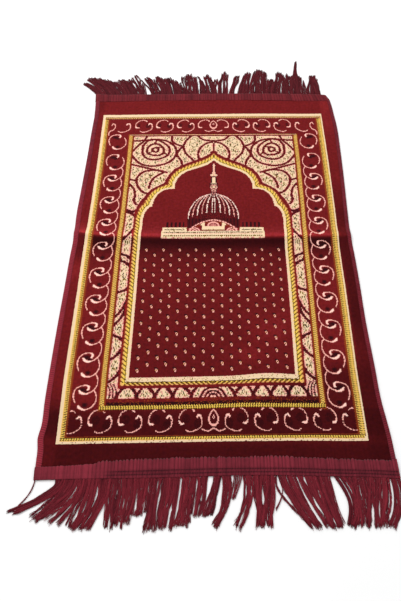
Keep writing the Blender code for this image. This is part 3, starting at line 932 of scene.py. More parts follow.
@dataclass
class DomeMotif:
    """The domed hall over the field, a plain form common on prayer rugs, in millimetres.

    It is a ribbed half dome on a drum, over a long plinth, with a turned finial on top.
    """

    half_width: float = 60.0
    foot: float = 90.0
    height: float = 78.0
    ribs: tuple = (0.055, 0.27, 0.46, 0.64, 0.82, 0.99)
    rose_ribs: tuple = (0.46, 0.82)
    rib_loss: float = 0.16
    panel_top: float = 87.0
    panel_drop: float = 33.0
    plinth_half: float = 113.0
    slab_half: float = 119.5
    slab_low: float = 29.0
    slab_high: float = 50.0
    plinth_high: float = 64.0
    finial: Array = table_field("along half", [
        (164, 4), (172, 5.5), (180, 5.5), (184, 7.5), (190, 9), (196, 9), (199, 7.5), (200, 8.6),
        (203, 8.6), (204, 5.4), (220, 5.4), (223, 4.4), (226, 4.6), (228, 9.6), (232, 9.6), (234, 4.6),
        (244, 3.4), (256, 2.6), (261, 2.4), (264, 4), (268, 3.2), (272, 0.6),
    ])

    def draw(self, chart: Chart) -> None:
        """Draws the dome, its ribs, the drum, the doorway panel, the plinth and the finial."""
        rise = (chart.v - self.foot) / self.height
        width = self.half_width * np.sqrt(np.clip(1 - rise**2, 0, 1))
        edge = self.panel_top - self.panel_drop * (chart.u / self.half_width) ** 2
        dome = (rise > 0) & (chart.u < width)
        drum = (chart.u < self.half_width + 1) & (chart.v > edge) & (rise <= 0) & (chart.v > 62)
        chance = chart.chance()
        chart.paint(dome | drum, DEEP)
        chart.paint(dome & (chance < 0.30), MAROON)
        chart.paint(dome & (chance > 0.80), CHERRY)
        chart.paint((chart.column % 5 < 2) & drum & (chart.v > edge + 5), CHERRY)
        plain = chart.yarn.copy()
        for share in self.ribs:
            self.rib(chart, share)
        lost = chart.chance() < self.rib_loss
        chart.yarn[lost] = plain[lost]
        self.panel(chart, edge)
        self.plinth(chart)
        self.spire(chart)

    def rib(self, chart: Chart, share: float) -> None:
        """Draws a rib: a quarter of an upright oval down from the dome's top, the outer ones lower."""
        low = self.foot + 20 - 20 * share**2
        turn = np.linspace(0.09, 0.5 * np.pi, 9)
        across = self.half_width * share * np.sin(turn)
        along = low + (self.foot + self.height - low) * np.cos(turn)
        yarn = ROSE if share in self.rose_ribs else SHELL
        widths = np.linspace(1.2, 2.0 if yarn is ROSE else 2.9, len(turn))
        chart.stroke(list(zip(across, along)), widths, yarn)

    def panel(self, chart: Chart, edge: Array) -> None:
        """Draws the arched panel under the drum, with a small gatehouse in it."""
        u = chart.u
        v = chart.v
        under = (u < self.half_width - 2) & (v < edge) & (v > self.slab_high)
        chart.paint(under, MAROON)
        chart.paint(under & (v > edge - 3.6) & (chart.column % 4 > 0), ROSE)
        chart.paint(under & (v > edge - 9.2) & (v < edge - 7.0), RUST)
        for radius in (5.0, 11.0):
            arc = np.hypot(u - 43, v - self.slab_high) - radius
            chart.paint(under & (np.abs(arc) < 1.5), ROSE)
        for part in ((0, 26, 56, 66), (20, 26, 56, 77), (24, 29, 69, 75)):
            chart.block(*part, CREAM)
        cap = (np.hypot(u, v - 66) < 14) & (v >= 66)
        chart.paint(cap, PINK)
        chart.paint(cap & (chart.chance() < 0.4), MAROON)
        chart.paint((np.abs(np.hypot(u, v - 66) - 13) < 1.5) & (v >= 66), ROSE)
        chart.paint(chart.band(0, 26, 53, 56) & (chart.column % 2 == 0), OLIVE)

    def plinth(self, chart: Chart) -> None:
        """Draws the slab, the low walls at its ends, their dark joints and the row of dark posts."""
        chart.block(self.half_width + 1, self.slab_half - 2, self.slab_high, self.plinth_high, CREAM)
        chart.block(0, self.slab_half, self.slab_low, self.slab_high, CREAM)
        chart.speckle(chart.band(0, self.slab_half, self.slab_low, self.plinth_high), 11.0, OLIVE)
        chart.speckle(chart.band(0, self.slab_half, self.slab_low, 33.5), 3.4, PINK)
        for low, high, inner, outer, dash, yarn in (
            (54, 57, 66, self.plinth_half, 9, PINE),
            (45.6, 48, 0, self.plinth_half, 8, CHERRY),
            (43.9, 45.5, 0, self.plinth_half, 3, BROWN),
            (40.5, 42, 0, self.plinth_half, 3, PINK),
            (35, 37.5, 0, self.plinth_half + 2, 3, OLIVE),
            (36.5, 37.5, 0, self.plinth_half + 2, 3, BROWN),
        ):
            chart.paint(chart.band(inner, outer, low, high) & (chart.column % dash > 0), yarn)
        chart.paint((chart.column % 6 < 3) & chart.band(68, 114, 65, 80), CHERRY)

    def spire(self, chart: Chart) -> None:
        """Draws the turned finial, its half width read from the table, with two dark joints."""
        half = np.interp(chart.v, self.finial["along"], self.finial["half"], left=-1, right=-1)
        chart.paint((chart.u < half + 1.2) & (half > 0), CHERRY)
        shape = chart.u < half - 0.6
        chart.paint(shape, CREAM)
        chart.paint(shape & (chart.u > half - 2.2), ROSE)
        chart.paint(shape & (chart.v < 182) & (chart.u < 2.5), CHERRY)
        chance = chart.chance()
        chart.paint(shape & (chart.v < 199) & (chance < 0.35), PINK)
        chart.paint(shape & (chart.v < 199) & (chance > 0.60), DEEP)
        chart.paint(shape & (chart.v > 226) & (chance < 0.30), PINK)
        for low, high in ((199.5, 203), (223.5, 226.5)):
            chart.paint(shape & (chart.v > low) & (chart.v < high), CHERRY)


def weave_chart() -> Array:
    """Draws the whole pattern and gives the yarn number of every tuft, rows from the near end."""
    chart = Chart()
    ScrollBorder().draw(chart)
    in_guard = chart.band(0, Frame.guard_outer, Frame.guard_bottom, Frame.guard_top)
    chart.paint(in_guard, MAROON)
    Frame().draw(chart)
    around = Arch().draw(chart)
    RosePanel().draw(chart, around)
    DomeMotif().draw(chart)
    yarns = chart.whole()
    Frame().thin_right(yarns)
    DottedField().draw(yarns)
    return yarns


# Finishes


def linear(red: float, green: float, blue: float) -> tuple:
    """Turns a screen colour, each part from 0 to 255, into a linear colour with full alpha."""
    parts = np.array([red, green, blue]) / 255
    low = parts / 12.92
    high = ((parts + 0.055) / 1.055) ** 2.4
    return (*np.where(parts < 0.04045, low, high).tolist(), 1.0)


class Signal:
    """A number that varies over a surface, on which arithmetic adds Math nodes."""

    def __init__(self, bench: "Bench", socket: NodeSocket) -> None:
        """Wraps an output socket of a bench's material."""
        self.bench = bench
        self.socket = socket

    def math(self, operation: str, first: object, second: object = 0.0) -> "Signal":
        """Adds a Math node and gives its result."""
        node = self.bench.node("ShaderNodeMath", {"operation": operation}, {0: first, 1: second})
        return Signal(self.bench, node.outputs[0])

    def __add__(self, other: object) -> "Signal":
        """Gives the sum."""
        return self.math("ADD", self, other)

    def __sub__(self, other: object) -> "Signal":
        """Gives this less the other."""
        return self.math("SUBTRACT", self, other)

    def __mul__(self, other: object) -> "Signal":
        """Gives the product."""
        return self.math("MULTIPLY", self, other)

    def __pow__(self, other: object) -> "Signal":
        """Gives this to the other's power."""
        return self.math("POWER", self, other)

    __radd__ = __add__

    def wave(self) -> "Signal":
        """Gives the sine of this, in radians."""
        return self.math("SINE", self)


class Bench:
    """One material and the nodes that finish it."""

    def __init__(self, name: str, roughness: float, sheen: float) -> None:
        """Starts a material; sheen is the soft light that yarn ends catch at a low angle."""
        self.material = bpy.data.materials.new(name)
        self.material.use_nodes = True
        self.tree = self.material.node_tree
        self.shader = self.tree.nodes["Principled BSDF"]
        names = ("Roughness", "Specular IOR Level", "Sheen Weight", "Sheen Roughness")
        for socket, value in zip(names, (roughness, 0.03, sheen, 0.45)):
            self.shader.inputs[socket].default_value = value
        where = self.node("ShaderNodeTexCoord", {}, {}).outputs["Object"]
        parts = self.node("ShaderNodeSeparateXYZ", {}, {0: where})
        self.place = tuple(Signal(self, output) for output in parts.outputs)

    def node(self, kind: str, settings: dict, sockets: dict) -> Node:
        """Adds a node of any type.

        Args:
            kind: The node's type.
            settings: Its settings; "stops" is a list of places and colours for a ramp.
            sockets: A value, a socket or a signal for each input that isn't left as it is.

        Returns:
            The node.
        """
        node = self.tree.nodes.new(kind)
        for name, value in settings.items():
            if name == "stops":
                self.set_stops(node.color_ramp, value)
            elif name == "interpolation":
                node.color_ramp.interpolation = value
            else:
                setattr(node, name, value)
        for name, value in sockets.items():
            if isinstance(value, Signal):
                value = value.socket
            if isinstance(value, NodeSocket):
                self.tree.links.new(value, node.inputs[name])
            else:
                node.inputs[name].default_value = value
        return node

    def set_stops(self, ramp: ColorRamp, stops: Sequence[tuple]) -> None:
        """Gives a ramp its stops, each a place and a colour."""
        while len(ramp.elements) > 1:
            ramp.elements.remove(ramp.elements[-1])
        ramp.elements[0].position, ramp.elements[0].color = stops[0]
        for place, colour in stops[1:]:
            ramp.elements.new(place).color = colour

    def attribute(self, name: str) -> Signal:
        """Reads a number that the piece keeps for each face."""
        node = self.node("ShaderNodeAttribute", {"attribute_name": name}, {})
        return Signal(self, node.outputs["Fac"])

    def noise(self, lumps: tuple, detail: float, shift: float = 0.0, axes: tuple = (0, 1, 2)) -> Signal:
        """Gives soft noise, from 0 to 1, by its lumps' length on each axis; 0 leaves an axis out."""
        counts = [self.place[axis] * (1 / lump if lump else 0.0) for axis, lump in zip(axes, lumps)]
        where = self.node("ShaderNodeCombineXYZ", {}, {0: counts[0], 1: counts[1], 2: counts[2] + shift})
        sockets = {"Vector": where.outputs[0], "Scale": 1.0, "Detail": detail, "Roughness": 0.6}
        return Signal(self, self.node("ShaderNodeTexNoise", {}, sockets).outputs[0])

    def ramp(self, amount: Signal, stops: Sequence[tuple], interpolation: str = "LINEAR") -> NodeSocket:
        """Gives the colour that a ramp holds at an amount."""
        settings = {"stops": stops, "interpolation": interpolation}
        return self.node("ShaderNodeValToRGB", settings, {0: amount}).outputs[0]

    def blend(self, kind: str, first: object, second: object, amount: object) -> NodeSocket:
        """Mixes two colours in one of Blender's ways."""
        settings = {"data_type": "RGBA", "blend_type": kind, "clamp_factor": True}
        return self.node("ShaderNodeMix", settings, {0: amount, 6: first, 7: second}).outputs[2]

    def finish(self, colour: object, height: Signal, depth: float, strength: float) -> Material:
        """Joins the colour and a relief, its depth in metres, to the shader."""
        self.tree.links.new(colour, self.shader.inputs["Base Color"])
        sockets = {"Height": height, "Distance": depth, "Strength": strength}
        bump = self.node("ShaderNodeBump", {}, sockets)
        self.tree.links.new(bump.outputs[0], self.shader.inputs["Normal"])
        return self.material


@dataclass(frozen=True)
class Dye:
    """One pile yarn's colour, and how much the painted light and shade of the pile's lie darkens or lightens
    it.
    """

    colour: tuple
    painted_light_share: float


DYES = {
    MAROON: Dye(linear(109, 24, 26), 1.0),
    DEEP: Dye(linear(76, 17, 20), 0.8),
    CHERRY: Dye(linear(48, 14, 18), 0.5),
    RUST: Dye(linear(136, 58, 24), 0.35),
    ROSE: Dye(linear(244, 172, 158), 0.16),
    CREAM: Dye(linear(232, 202, 164), 0.08),
    GOLD: Dye(linear(232, 192, 84), 0.10),
    OLIVE: Dye(linear(124, 98, 30), 0.25),
    PINE: Dye(linear(62, 58, 36), 0.25),
    STRAW: Dye(linear(226, 166, 98), 0.12),
    BROWN: Dye(linear(72, 34, 14), 0.30),
    PINK: Dye(linear(208, 132, 122), 0.25),
    SHELL: Dye(linear(250, 216, 200), 0.10),
    RED: Dye(linear(144, 28, 28), 0.9),
}


@dataclass(frozen=True)
class PileFinish:
    """Cut velvet pile: each tuft its own yarn, with painted light and shade for the way the pile leans."""

    grain: float = 1.3 * MM
    streak_width: float = 2.6 * MM
    streak_length: float = 38 * MM
    cloud: float = 70 * MM
    blotch: float = 6.5 * MM
    relief: float = 0.5 * MM

    def material(self) -> Material:
        """Makes the finish.

        A face's yarn number picks its dye. The dye is multiplied by the painted light and shade of the
        pile's lie and the fold, less so for the pale yarns, and painted highlights turn it a little
        whiter. Streaks along the rug, slow clouds and small blotches vary that at random, fine grain
        varies all of it, and other blotches turn the red a little to purple.
        """
        bench = Bench("velvet_pile", 0.85, 0.02)
        count = len(DYES)
        stops = [(yarn / count, dye.colour) for yarn, dye in DYES.items()]
        shares = [(yarn / count, (dye.painted_light_share,) * 3 + (1.0,)) for yarn, dye in DYES.items()]
        pick = (bench.attribute("yarn") + 0.5) * (1 / count)
        colour = bench.ramp(pick, stops, "CONSTANT")
        share = Signal(bench, bench.ramp(pick, shares, "CONSTANT"))

        grain = bench.noise((self.grain,) * 3, 2.0)
        streak = bench.noise((self.streak_width, self.streak_length, 0), 1.0)
        cloud = bench.noise((self.cloud, self.cloud, 0), 2.0)
        blotch = bench.noise((self.blotch, self.blotch, 0), 2.0)
        tinge = bench.noise((self.blotch, self.blotch, 0), 1.0, shift=9.0)
        slow = 1 + (streak - 0.5) * 0.30 + (cloud - 0.5) * 0.34 + (blotch - 0.5) * 0.90
        # Painted light and shade of the pile's lie and the fold, varied by random streaks, clouds and
        # blotches
        nap = 1 + (bench.attribute("nap") * slow - 1) * share
        # Painted highlight: where the painted light passes 1, green and blue rise more, so it turns whiter
        painted_highlight = nap.math("MAXIMUM", nap, 1.0) - 1
        fuzz = 1 + (grain - 0.5) * 0.42
        green = (nap**0.95 + painted_highlight * 0.45) * fuzz
        blue = (nap**0.8 + painted_highlight * 0.77) * fuzz * (1 + (tinge - 0.5) * share)
        tint = bench.node("ShaderNodeCombineColor", {}, {0: nap * fuzz, 1: green, 2: blue}).outputs[0]
        return bench.finish(bench.blend("MULTIPLY", colour, tint, 1.0), grain, self.relief, 0.5)


class Grain(Enum):
    """Which way a piece's yarns run, as the order in which its noise reads x, y and z."""

    LENGTHWISE = (0, 1, 2)
    CROSSWISE = (1, 0, 2)


@dataclass(frozen=True)
class YarnFinish:
    """Spun yarn: a lit and a shaded colour, mixed by the piece's painted light and shade, with fine streaks
    along the strand.
    """

    name: str
    # Two screen colours, for its lit and its shaded parts
    light: tuple
    dark: tuple
    along: Grain
    fibre: float = 0.5 * MM
    fibre_length: float = 9 * MM
    lump: float = 11 * MM
    relief: float = 0.25 * MM
    sheen: float = 0.22

    def material(self) -> Material:
        """Makes the finish: the piece's tone, its painted light and shade, mixes its lit and shaded colours,
        and fibres vary it.
        """
        bench = Bench(self.name, 0.72, self.sheen)
        fibre = bench.noise((self.fibre, self.fibre_length, self.fibre), 2.0, axes=self.along.value)
        lump = bench.noise((self.lump, self.lump, 0), 1.0)
        tone = bench.attribute("tone") + (fibre - 0.5) * 0.5 + (lump - 0.5) * 0.25
        colour = bench.blend("MIX", linear(*self.dark), linear(*self.light), tone)
        return bench.finish(colour, fibre, self.relief, 0.5)


@dataclass(frozen=True)
class BackingFinish:
    """The woven back of the cloth: a plain weave of slubby ground yarn."""

    thread: float = 1.6 * MM
    slub_length: float = 9 * MM
    slub_width: float = 1.5 * MM
    relief: float = 0.3 * MM

    def material(self) -> Material:
        """Makes the finish: two crossed waves, a thread apart, raise the weave and paint its low squares
        darker as painted shade.
        """
        bench = Bench("woven_back", 0.9, 0.1)
        x, y, _ = bench.place
        turn = 2 * np.pi / self.thread
        weave = (x * turn).wave() * (y * turn).wave() * 0.5 + 0.5
        slub = bench.noise((self.slub_length, self.slub_width, 0), 2.0)
        # Painted shade: the weave's low squares darker, with random slubs
        colour = bench.blend("MIX", linear(84, 38, 36), linear(132, 74, 62), weave * 0.6 + slub * 0.4)
        return bench.finish(colour, weave, self.relief, 0.6)


@dataclass(frozen=True)
class FloorFinish:
    """A plain pale floor."""

    cloud: float = 1 / 6
    relief: float = 0.1 * MM

    def material(self) -> Material:
        """Makes the finish: near white, a little uneven."""
        bench = Bench("pale_floor", 0.75, 0.0)
        mottle = bench.noise((self.cloud, self.cloud, 1), 2.0)
        colour = bench.blend("MIX", (0.93, 0.93, 0.93, 1), (0.96, 0.96, 0.96, 1), mottle)
        return bench.finish(colour, mottle, self.relief, 0.1)


# The pieces


def add_to_rug(piece: Object, finish: Material, nodes: Sequence[str] = ()) -> None:
    """Dresses a piece and fastens it to the rug, and hides the nodes it replaces."""
    piece.data.materials.append(finish)
    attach(piece, BODY)
    if nodes:
        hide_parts(*nodes)
    LOG.info("%s: %d faces, finish %s", piece.name, len(piece.data.polygons), finish.name)


@dataclass
class VelvetCloth:
    """The woven backing and the cut pile over it, in three lengths that join without a step."""

    left_steps: int = 12
    right_steps: int = 11
    near_steps: int = 14
    far_steps: int = 17
    lengths: int = 3
    coarse: int = 4
    backing_thickness: float = 1.4 * MM
    pile_foot: float = 1.45 * MM
    tuft_stray: float = 0.24 * MM
    tuft_rise: float = 0.12 * MM
    carve: float = 0.22 * MM
    edge_drop: float = 0.4 * MM
    flat: tuple = (0.628, 1.003)
    # How much painted shade darkens the near end, its rim and its strip on top of that, and the niche
    near_painted_shade: float = 0.52
    rim_painted_shade: float = 0.28
    strip_painted_shade: float = 0.25
    niche_painted_shade: float = 0.1
    niche_painted_shade_near: float = 0.14
    # Where patches of brushed pile are painted lighter, as sheen, how far they spread, in metres, and by how
    # much
    brushed_sheen: Array = table_field("x y wide long gain", [
        (0.112, -0.222, 0.034, 0.03, 0.32), (0.08, -0.272, 0.03, 0.016, 0.45),
        (0.145, -0.21, 0.02, 0.035, 0.25),
    ])
    # The line along the crease where the pile's painted fold shade turns dark
    fold_line: Array = table_field("across along", [
        (-304, 43), (-280, 38), (-250, 34), (-200, 31), (-137, 29), (0, 24), (140, 25), (304, 24),
    ], MM)
    # How light the fold's painted light and shade make the pile, by its distance, in millimetres, beyond that
    # line: a painted shade before it and a painted highlight just beyond
    fold_painted_light: Array = table_field("away shade", [
        (-100, 1), (-57, 0.74), (-42, 0.58), (-32, 0.43), (-24, 0.31), (-18, 0.245), (-12.7, 0.2),
        (-9, 0.195), (-5.7, 0.215), (-2.3, 0.35), (1, 0.85), (4.4, 1.88), (7.9, 1.95), (12, 1.58),
        (20, 1.3), (38, 1.1), (68, 1),
    ])
    # How light the painted light and shade make the pile in the plain margins beside the woven frame
    margin_painted_light: Array = table_field("along left right", [
        (-0.52, 1.4, 0.9), (-0.48, 1.4, 0.85), (-0.45, 1.05, 0.82), (-0.42, 0.8, 0.82), (-0.4, 0.68, 0.82),
        (-0.38, 0.76, 0.82), (-0.33, 0.9, 0.8), (-0.3, 0.9, 0.78), (-0.25, 0.9, 0.52), (-0.2, 0.92, 0.42),
        (-0.1, 1, 0.42), (-0.05, 1.18, 0.44), (-0.01, 0.72, 0.54), (0.03, 0.95, 0.62), (0.06, 1, 0.58),
        (0.1, 1, 0.54), (0.15, 1, 0.73), (0.2, 1, 0.92), (0.3, 1, 0.97), (0.4, 1, 1.14), (0.44, 0.95, 1.25),
        (0.48, 0.8, 1.32), (0.52, 0.8, 1.3),
    ])

    def grid_lines(self) -> tuple:
        """Gives each column's and each row's place on the chart and its share of a margin.

        A share runs from -1 on the left or near edge of the cloth, through 0 at the woven frame, to 1
        on the right or far edge.
        """
        lines = []
        for half, before, after in (
            (HALF_WIDTH, self.left_steps, self.right_steps),
            (HALF_LENGTH, self.near_steps, self.far_steps),
        ):
            chart = np.linspace(-half, half, round(2 * half / TUFT) + 1)
            chart = np.concatenate([np.full(before, -half), chart, np.full(after, half)])
            shares = np.zeros(len(chart))
            shares[:before] = np.linspace(-1, 0, before, endpoint=False)
            shares[len(chart) - after :] = np.linspace(0, 1, after + 1)[1:]
            lines.append((chart, shares))
        return lines[0], lines[1]

    def spread(self) -> tuple:
        """Gives the x and y of every point of the grid, rows from the near end."""
        (chart_u, share_u), (chart_v, share_v) = self.grid_lines()
        u, v = np.meshgrid(chart_u, chart_v)
        beside, beyond = np.meshgrid(share_u, share_v)
        frame_x, frame_y = Lay.warp(u, v)
        x, y = frame_x, frame_y
        for _ in range(LAY_REPEATS):
            left = Lay.side_edge("left", y) + LEFT_BINDING_WIDTH + PIECE_GAP / 2
            right = Lay.side_edge("right", y) - RIGHT_BINDING_WIDTH - PIECE_GAP / 2
            near = Lay.cross_line("near_seam", x) + PIECE_GAP
            far = Lay.cross_line("far_seam", x) - PIECE_GAP
            x = frame_x + np.abs(beside) * (np.where(beside < 0, left, right) - frame_x)
            y = frame_y + np.abs(beyond) * (np.where(beyond < 0, near, far) - frame_y)
        return x, y

    def tufts(self, rows: int, columns: int) -> Array:
        """Gives the yarn number of every grid square: the chart, with plain maroon margins."""
        yarns = np.full((rows, columns), MAROON, np.int8)
        chart = weave_chart()
        yarns[self.near_steps : rows - self.far_steps, self.left_steps : columns - self.right_steps] = chart
        return yarns

    def nap(self, x: Array, y: Array) -> Array:
        """Gives the painted light and shade for the lie of the pile and the fold, 1 where the ground is
        plain.

        The pile is painted darker towards the near end, sooner on the right, and in the niche. Just
        beyond the crease it gets a painted highlight, most in the left margin and least in the right one,
        and just before it a painted shade, less so in both margins. The margins and the brushed patches
        get painted light and shade of their own.
        """
        shade = np.ones_like(x)
        # Painted shade towards the near end, on its rim, on the scroll strip and in the niche
        onset = -0.352 + 0.10 * ease(x, 0.0, 0.27)
        shade *= 1 - self.near_painted_shade * ease(onset - y, 0.0, 0.075)
        shade *= 1 - self.rim_painted_shade * ease(-y, 0.452, 0.470)
        shade *= 1 - self.strip_painted_shade * ease(-y, 0.385, 0.400) * ease(y + 0.452, 0.0, 0.015)
        niche = ease(0.165 - np.abs(x), 0.0, 0.004) * ease(-y, 0.0, 0.06) * ease(0.326 + y, 0.0, 0.003)
        nearer = ease(-y, 0.05, 0.30) * (1 - 0.3 * ease(x, 0.0, 0.1))
        shade *= 1 - niche * (self.niche_painted_shade + self.niche_painted_shade_near * nearer)
        # Painted light and shade in the margins
        for side in ("left", "right"):
            margin = smooth_curve(y, self.margin_painted_light["along"], self.margin_painted_light[side])
            outward = x if side == "right" else -x
            shade *= 1 + (margin - 1) * ease(outward, 0.286, 0.296)
        # The fold's painted shade before the line and painted highlight beyond it, each weighted by how far
        # into a margin
        away = y - smooth_curve(x, self.fold_line["across"], self.fold_line["along"])
        fold = smooth_curve(away / MM, self.fold_painted_light["away"], self.fold_painted_light["shade"])
        painted_shade_share = (0.45 + 0.55 * ease(x, -0.297, -0.285)) * (1 - 0.60 * ease(x, 0.285, 0.297))
        painted_highlight_share = (1 + 0.5 * ease(-x, 0.285, 0.297)) * (1 - 0.75 * ease(x, 0.27, 0.30))
        shade *= 1 + (fold - 1) * np.where(fold < 1, painted_shade_share, painted_highlight_share)
        # Painted sheen on the brushed patches
        for patch in self.brushed_sheen:
            away_x = (x - patch["x"]) / patch["wide"]
            away_y = (y - patch["y"]) / patch["long"]
            shade *= 1 + patch["gain"] * np.exp(-(away_x**2) - away_y**2)
        return shade

    def build(self) -> list[Object]:
        """Makes and dresses the backing and the lengths of pile."""
        x, y = self.spread()
        rows, columns = x.shape
        yarns = self.tufts(rows - 1, columns - 1)
        under = Lay.lift(x, y)
        top = under + CLOTH_THICKNESS + Lay.ripple(x, y) + self.relief(yarns)
        random = np.random.default_rng(11)
        inner = np.zeros(x.shape)
        inner[1:-1, 1:-1] = 1
        stray_x, stray_y, rise = (random.normal(size=x.shape).clip(-2, 2) * inner for _ in range(3))
        strayed = (x + self.tuft_stray * stray_x, y + self.tuft_stray * stray_y, top + self.tuft_rise * rise)
        face = np.stack(strayed, -1)
        middle_x = (x[1:, 1:] + x[:-1, :-1]) / 2
        middle_y = (y[1:, 1:] + y[:-1, :-1]) / 2
        nap = self.nap(middle_x, middle_y)

        backing = self.backing(x, y, under)
        pile_finish = PileFinish().material()
        pieces = [backing]
        length = (rows - 1) // self.lengths
        for number, name in enumerate(("near_pile", "middle_pile", "far_pile")):
            span = slice(number * length, (number + 1) * length)
            points = slice(span.start, span.stop + 1)
            foot = np.stack([x, y, under + self.pile_foot], -1)[points][:: self.coarse, :: self.coarse]
            piece = self.pile_length(name, face[points], foot)
            tops = yarns[span].size
            plain = len(piece.data.polygons) - tops
            mark_faces(piece, "yarn", np.concatenate([yarns[span].ravel(), np.zeros(plain)]))
            # The wall and underside faces of each length get a painted shade of 0.7.
            mark_faces(piece, "nap", np.concatenate([nap[span].ravel(), np.full(plain, 0.7)]))
            add_to_rug(piece, pile_finish)
            pieces.append(piece)
        return pieces

    def relief(self, yarns: Array) -> Array:
        """Gives how far each grid point stands off the plain pile.

        Dark lines are shorn a little lower, and cream, gold and rose stand a little higher. A point
        takes the mean of the squares round it. The cloth's rim is rounded down.
        """
        sunk = np.isin(yarns, (DEEP, CHERRY, PINE, OLIVE)).astype(float)
        proud = np.isin(yarns, (CREAM, GOLD, ROSE)).astype(float)
        square = np.pad(0.5 * proud - sunk, 1)
        height = self.carve * (square[1:, 1:] + square[:-1, 1:] + square[1:, :-1] + square[:-1, :-1]) / 4
        for ring, share in ((0, 1.0), (1, 0.35)):
            rim = np.zeros(height.shape, bool)
            rim[[ring, -1 - ring]] = True
            rim[:, [ring, -1 - ring]] = True
            height -= self.edge_drop * share * rim
        return height

    def pile_length(self, name: str, face: Array, foot: Array) -> Object:
        """Makes one closed length of pile: a fine grid on top, a coarse one below, and a wall.

        Each face of the wall spans one step of the coarse grid, so it has two corners below and one
        more than the coarse step above.
        """
        rows, columns = face.shape[:2]
        low_rows, low_columns = foot.shape[:2]
        upper = np.arange(rows * columns).reshape(rows, columns)
        lower = np.arange(low_rows * low_columns).reshape(low_rows, low_columns) + rows * columns
        walls = []
        for high, low in (
            (upper[0], lower[0]),
            (upper[:, -1], lower[:, -1]),
            (upper[-1, ::-1], lower[-1, ::-1]),
            (upper[::-1, 0], lower[::-1, 0]),
        ):
            corners = [low[:-1], low[1:]]
            corners += [high[step :: self.coarse][: len(low) - 1] for step in range(self.coarse, 0, -1)]
            walls.append(np.stack([*corners, high[:: self.coarse][:-1]], -1))
        bottom = grid_faces(low_rows, low_columns, rows * columns)[:, ::-1]
        points = np.concatenate([face.reshape(-1, 3), foot.reshape(-1, 3)])
        faces = [grid_faces(rows, columns), bottom, np.concatenate(walls)]
        return build_piece(name, points, faces, smooth=True, crisp_from=60)

    def backing(self, x: Array, y: Array, under: Array) -> Object:
        """Makes the woven backing, a thin closed sheet on the same coarse grid, and dresses it."""
        coarse = (slice(None, None, self.coarse),) * 2
        x, y, under = x[coarse], y[coarse], under[coarse]
        rows, columns = x.shape
        high = np.arange(x.size).reshape(x.shape)
        rim = np.concatenate([high[0, :-1], high[:-1, -1], high[-1, :0:-1], high[:0:-1, 0]])
        after = np.roll(rim, -1)
        wall = np.stack([rim + x.size, after + x.size, after, rim], -1)
        points = np.concatenate(
            [np.stack([x, y, z], -1).reshape(-1, 3) for z in (under + self.backing_thickness, under)]
        )
        faces = [grid_faces(rows, columns), grid_faces(rows, columns, x.size)[:, ::-1], wall]
        piece = build_piece("rug_backing", points, faces, smooth=False)
        add_to_rug(piece, BackingFinish().material(), ["velvet_cloth"])
        return piece


def carried_bar(name: str, sections: Array, tones: Array, cap_tone: float, mirrored: bool) -> Object:
    """Makes a closed bar from its cross-sections and marks its faces' tone, with their painted light and
    shade.
    """
    count, around = sections.shape[:2]
    faces = grid_faces(count, around, wrapped=True)
    caps = np.stack([np.arange(around)[::-1], np.arange(around) + (count - 1) * around])
    if mirrored:
        faces, caps = faces[:, ::-1], caps[:, ::-1]
    piece = build_piece(name, sections.reshape(-1, 3), [faces, caps], smooth=True)
    mark_faces(piece, "tone", np.concatenate([tones[:-1].ravel(), np.full(2, cap_tone)]))
    return piece


